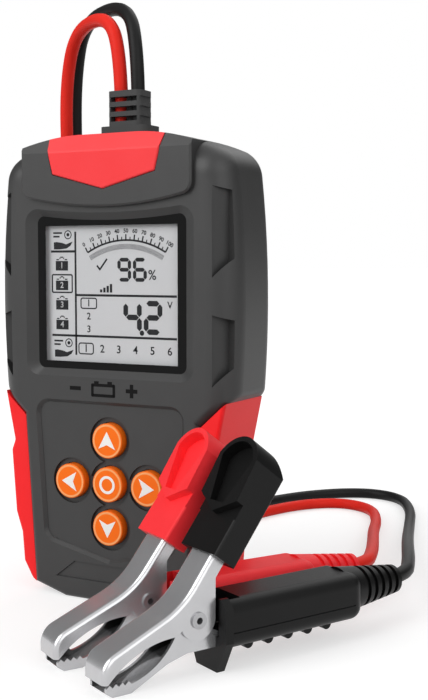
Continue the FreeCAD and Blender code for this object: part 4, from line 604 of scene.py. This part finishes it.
def round_frame(bm, x, z, width, height, corner, stroke):
    """A closed line round a rectangle with round corners."""
    sheet = bmesh.new()
    block(sheet, x, z, width, height)
    bmesh.ops.bevel(sheet, geom=sheet.verts[:], offset=corner * MM, affect="VERTICES", segments=5,
                    profile=0.5, material=-1)
    inside = sheet.faces[:]
    bmesh.ops.inset_region(sheet, faces=inside, thickness=stroke * MM, use_boundary=True,
                            use_even_offset=True)
    bmesh.ops.delete(sheet, geom=inside, context="FACES_ONLY")
    mesh = bpy.data.meshes.new("round_frame")
    sheet.to_mesh(mesh)
    sheet.free()
    bm.from_mesh(mesh)
    bpy.data.meshes.remove(mesh)


def number(bm, words, x, z, height, turn=0.0):
    """Plain digits or signs from the built-in font, standing in the XZ plane."""
    text = bpy.data.curves.new("number", "FONT")
    text.body = words
    text.size = height * TEXT_SIZE * MM
    text.align_x = "CENTER"
    text.align_y = "CENTER"
    text.resolution_u = 3
    text.offset = BOLD
    writing = bpy.data.objects.new("number", text)
    bpy.context.scene.collection.objects.link(writing)
    bpy.context.view_layer.update()
    drawn = writing.evaluated_get(bpy.context.evaluated_depsgraph_get())
    mesh = bpy.data.meshes.new_from_object(drawn)
    upright = Matrix.Rotation(turn, 4, "Y") @ Matrix.Rotation(math.pi / 2, 4, "X")
    mesh.transform(Matrix.Translation((x * MM, 0, z * MM)) @ upright)
    bm.from_mesh(mesh)
    bpy.data.meshes.remove(mesh)
    bpy.data.objects.remove(writing)


def raise_plate(name, bm, front, thickness, finish, body):
    """Give the flat drawing its thickness, towards the viewer, and lay it on a surface at front."""
    bmesh.ops.remove_doubles(bm, verts=bm.verts, dist=SAME_POINT)
    grown = bmesh.ops.extrude_face_region(bm, geom=bm.faces[:])["geom"]
    lifted = [part for part in grown if isinstance(part, bmesh.types.BMVert)]
    bmesh.ops.translate(bm, verts=lifted, vec=(0, -thickness, 0))
    bmesh.ops.translate(bm, verts=bm.verts, vec=(0, front, 0))
    bmesh.ops.recalc_face_normals(bm, faces=bm.faces)
    mesh = bpy.data.meshes.new(name)
    bm.to_mesh(mesh)
    bm.free()
    piece = bpy.data.objects.new(name, mesh)
    bpy.context.scene.collection.objects.link(piece)
    mesh.materials.append(finish)
    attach(piece, body)
    print(name, len(mesh.polygons), "faces")
    return piece


# %% [markdown]
# The digits are the usual seven strokes, named from the top clockwise with the middle one last.

# %% Digits, dial and signs
SEGMENTS = {
    "top": ((0, 2), (1, 2)), "upper_right": ((1, 2), (1, 1)), "lower_right": ((1, 1), (1, 0)),
    "foot": ((0, 0), (1, 0)), "lower_left": ((0, 1), (0, 0)), "upper_left": ((0, 2), (0, 1)),
    "middle": ((0, 1), (1, 1)),
}
DIGITS = {
    "9": ("top", "upper_right", "lower_right", "foot", "upper_left", "middle"),
    "6": ("top", "lower_right", "foot", "lower_left", "upper_left", "middle"),
    "4": ("upper_right", "lower_right", "upper_left", "middle"),
    "2": ("top", "upper_right", "foot", "lower_left", "middle"),
}
GRID = 0.993
SEGMENT_GAP = 0.08
DIAL_REACH, DIAL_RISE = 14.9, 4.0
DIAL_STEPS, DIAL_TICKS, BAND_BARS = 40, 20, 70
COLUMN, LINE = 11.0, 0.75
SMALL_DIGIT = (4.0, 6.5, 1.25)
LARGE_DIGIT = (5.2, 9.2, 1.8)
MIDDLE_X, MIDDLE_Z = DISPLAY_MIDDLE.x / MM, DISPLAY_MIDDLE.z / MM
LIT_LEFT = MIDDLE_X - LIT_WIDTH / MM / 2
LIT_TOP = MIDDLE_Z + LIT_HEIGHT / MM / 2


def spot(right, down):
    """A place on the lit area, from its upper left corner, on the drawing's own grid."""
    return LIT_LEFT + right * GRID, LIT_TOP - down * GRID


def digit(bm, figure, right, down, width, height, stroke):
    x, z = spot(right, down)
    gap = stroke * SEGMENT_GAP
    for name in DIGITS[figure]:
        (x0, z0), (x1, z1) = SEGMENTS[name]
        start = Vector((x + x0 * width, z - height + z0 * height / 2))
        end = Vector((x + x1 * width, z - height + z1 * height / 2))
        ease = (end - start).normalized() * gap
        segment(bm, start + ease, end - ease, stroke)


def dial(bm, band):
    """An arc with ticks and numbers from 0 to 100, over a band of fine bars."""
    radius = (DIAL_REACH * DIAL_REACH + DIAL_RISE * DIAL_RISE) / (2 * DIAL_RISE)
    x, z = spot(31.0, 4.9)
    centre = Vector((x, z - radius))
    half_angle = math.asin(DIAL_REACH / radius)

    def on_arc(share, away):
        angle = (2 * share - 1) * half_angle
        return centre + Vector((math.sin(angle), math.cos(angle))) * (radius + away)

    for step in range(DIAL_STEPS):
        bar(bm, on_arc(step / DIAL_STEPS, 0), on_arc((step + 1) / DIAL_STEPS, 0), 0.6)
    for tick in range(DIAL_TICKS + 1):
        share = tick / DIAL_TICKS
        long = tick % 2 == 0
        bar(bm, on_arc(share, 0), on_arc(share, 1.9 if long else 1.1), 0.5 if long else 0.35)
        if long:
            number(bm, str(round(100 * share)), *on_arc(share, 3.0), 1.35, (2 * share - 1) * half_angle)
    for fine in range(BAND_BARS + 1):
        bar(band, on_arc(fine / BAND_BARS, -1.2), on_arc(fine / BAND_BARS, -2.9), 0.22)


def small_battery(bm, right, down):
    """A battery sign: a dark case under a dashed lid with two posts."""
    x, z = spot(right, down)
    block(bm, x, z, 5.0, 3.2)
    for side in (-1, 1):
        block(bm, x + side * 1.7, z + 2.05, 1.0, 0.4)
        block(bm, x + side * 0.75, z + 2.5, 0.4, 0.5)
    block(bm, x, z + 2.85, 1.1, 0.4)


def pointer_sign(bm, down):
    """A ring and a bar over an open palm, at the head and the foot of the left column."""
    hoop(bm, *spot(8.0, down), 1.5, 1.15)
    hoop(bm, *spot(8.0, down), 0.6, 0, 20)
    bar(bm, spot(2.0, down - 0.6), spot(5.6, down - 0.6), 0.6)
    bar(bm, spot(2.0, down + 0.6), spot(4.6, down + 0.6), 0.6)
    palm = ((2.2, 2.5), (3.4, 2.4), (5.6, 2.7), (7.2, 3.2), (9.9, 2.3),
            (9.0, 3.7), (7.4, 4.6), (4.6, 4.9), (2.2, 4.9))
    polygon(bm, [spot(right, down + drop) for right, drop in reversed(palm)])


def mark_display():
    ink, band, pale = bmesh.new(), bmesh.new(), bmesh.new()
    dial(ink, band)
    digit(ink, "9", 28.3, 11.3, *SMALL_DIGIT)
    digit(ink, "6", 34.3, 11.3, *SMALL_DIGIT)
    number(ink, "%", *spot(41.0, 16.4), 3.2)
    digit(ink, "4", 30.8, 25.5, *LARGE_DIGIT)
    digit(ink, "2", 38.6, 25.5, *LARGE_DIGIT)
    hoop(ink, *spot(37.0, 35.2), 0.85, 0, 20)
    number(ink, "V", *spot(47.6, 26.0), 2.2)
    bar(ink, spot(COLUMN, 1.9), spot(COLUMN, 43.3), LINE)
    bar(ink, spot(1.0, 8.5), spot(COLUMN, 8.5), LINE)
    bar(ink, spot(COLUMN, 23.1), spot(50.2, 23.1), LINE)
    bar(ink, spot(1.2, 36.8), spot(50.2, 36.8), LINE)
    for step, down in enumerate((13.3, 19.9, 26.5, 33.2)):
        small_battery(ink, 5.4, down)
        number(pale, str(step + 1), *spot(5.4, down), 2.0)
    round_frame(ink, *spot(5.5, 19.3), 8.6, 6.4, 0.7, 0.5)
    pointer_sign(ink, 2.9)
    pointer_sign(ink, 39.3)
    for step, down in enumerate((25.8, 30.2, 34.5)):
        number(ink, str(step + 1), *spot(16.2, down), 2.3)
    round_frame(ink, *spot(16.2, 25.8), 6.6, 3.8, 0.9, 0.42)
    bar(ink, spot(19.6, 13.2), spot(20.9, 14.7), 0.6)
    bar(ink, spot(20.6, 14.7), spot(23.6, 11.0), 0.6)
    for step in range(4):
        block(ink, *spot(21.2 + step * 1.3, 21.6 - step * 0.3), 0.9, 1.0 + step * 0.6)
    for step in range(6):
        number(ink, str(step + 1), *spot(15.0 + step * 6.5, 41.0), 2.6)
    round_frame(ink, *spot(15.0, 41.0), 6.2, 4.0, 1.0, 0.42)
    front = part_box("lcd_panel")[0].y
    raise_plate("display_marks", ink, front, PLATE, dark_segment, "tester")
    raise_plate("display_band", band, front, PLATE, grey_segment, "tester")
    raise_plate("display_numbers", pale, front - PLATE, PLATE, pale_segment, "tester")


dark_segment = moulded("dark_segment", "1A1B1E", "222326", 0.4, strength=0.02)
grey_segment = moulded("grey_segment", "6C6D70", "767779", 0.4, strength=0.02)
pale_segment = moulded("pale_segment", "C4C5C7", "CACBCD", 0.4, strength=0.02)
mark_display()

# %% [markdown]
# ## Keys
#
# The five keys are turned caps with a bevelled edge that catches the light. A painted highlight, a
# lighter orange along the bevel, is drawn by the distance from the key's own axis, so each key has its
# own centre.

# %% Key caps and their signs
KEY_INK = 0.06 * MM
KEY_RING = 5.15 * MM
RING_INSIDE, RING_EDGE = 0.15 * MM, 0.45 * MM
# the lighter orange of the painted highlight on the keys' bevel
RING_HIGHLIGHT_ORANGE = "FFB070"
key_white = moulded("key_white", "F2F2EE", "FAFAF6", 0.45, strength=0.05)


def key_orange(name):
    low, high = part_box(name)
    finish = moulded(name + "_orange", "FF6E08", "FF7812", 0.38, strength=0.12)
    tree = finish.node_tree
    base = tree.nodes["Principled BSDF"].inputs["Base Color"]
    plain = base.links[0].from_socket
    where = tree.nodes.new("ShaderNodeTexCoord").outputs["Object"]
    from_middle = vectors(tree, "SUBTRACT", where, (low + high) / 2)
    flat = vectors(tree, "MULTIPLY", from_middle, Vector((1, 0, 1)))
    away = maths(tree, "SUBTRACT", vectors(tree, "LENGTH", flat), KEY_RING)
    # painted highlight: a lighter orange ring where the cap's bevel would catch the light
    ring = spread(tree, maths(tree, "ABSOLUTE", away), 0.0, 1.0, RING_EDGE, RING_INSIDE)
    feed(tree, base, between(tree, ring, plain, tint(RING_HIGHLIGHT_ORANGE)))
    return finish


def key_sign(name, turn):
    """An arrow head that points up, turned to its direction, or a ring on the middle key."""
    low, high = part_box(name)
    middle = (low + high) / 2
    bm = bmesh.new()
    if turn is None:
        hoop(bm, 0, 0, 3.0, 2.1)
    else:
        polygon(bm, [(0, 3.1), (-3.25, -2.7), (0, -1.3), (3.25, -2.7)])
        bmesh.ops.rotate(bm, verts=bm.verts, matrix=Matrix.Rotation(math.radians(turn), 3, "Y"))
    bmesh.ops.translate(bm, verts=bm.verts, vec=(middle.x, 0, middle.z))
    raise_plate(name + "_sign", bm, low.y, KEY_INK, key_white, name + "_cap")


KEY_TURNS = {
    "button_up": 0, "button_right": 90, "button_down": 180, "button_left": -90, "button_centre": None,
}
for name, turn in KEY_TURNS.items():
    dress(key_orange(name), name)
    key_sign(name, turn)

# %% [markdown]
# ## The sign under the display
#
# A plain sign in black stands in the band between display and keys: a battery between its two poles.

# %% Battery sign on the case
SIGN_X, SIGN_Z = -1.6, 71.4
POLE_REACH, POLE_SIZE, POLE_STROKE = 11.0, 4.4, 1.3
CASE_INK = 0.05 * MM
case_ink = moulded("case_ink", "080808", "0E0E0E", 0.5, shine=0.1, strength=0.05)


def case_sign():
    front = -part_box("rear_shell")[1].y
    bm = bmesh.new()
    half = POLE_SIZE / 2
    for x in (SIGN_X - POLE_REACH, SIGN_X + POLE_REACH):
        bar(bm, (x - half, SIGN_Z), (x + half, SIGN_Z), POLE_STROKE)
    for side in (-1, 1):
        arm = half - POLE_STROKE / 2
        block(bm, SIGN_X + POLE_REACH, SIGN_Z + side * (half - arm / 2), POLE_STROKE, arm)
        block(bm, SIGN_X + side * 2.6, SIGN_Z + 2.3, 1.8, 0.8)
    round_frame(bm, SIGN_X, SIGN_Z - 0.3, 9.4, 4.4, 0.5, 1.0)
    raise_plate("case_sign", bm, front, CASE_INK, case_ink, "tester")


case_sign()
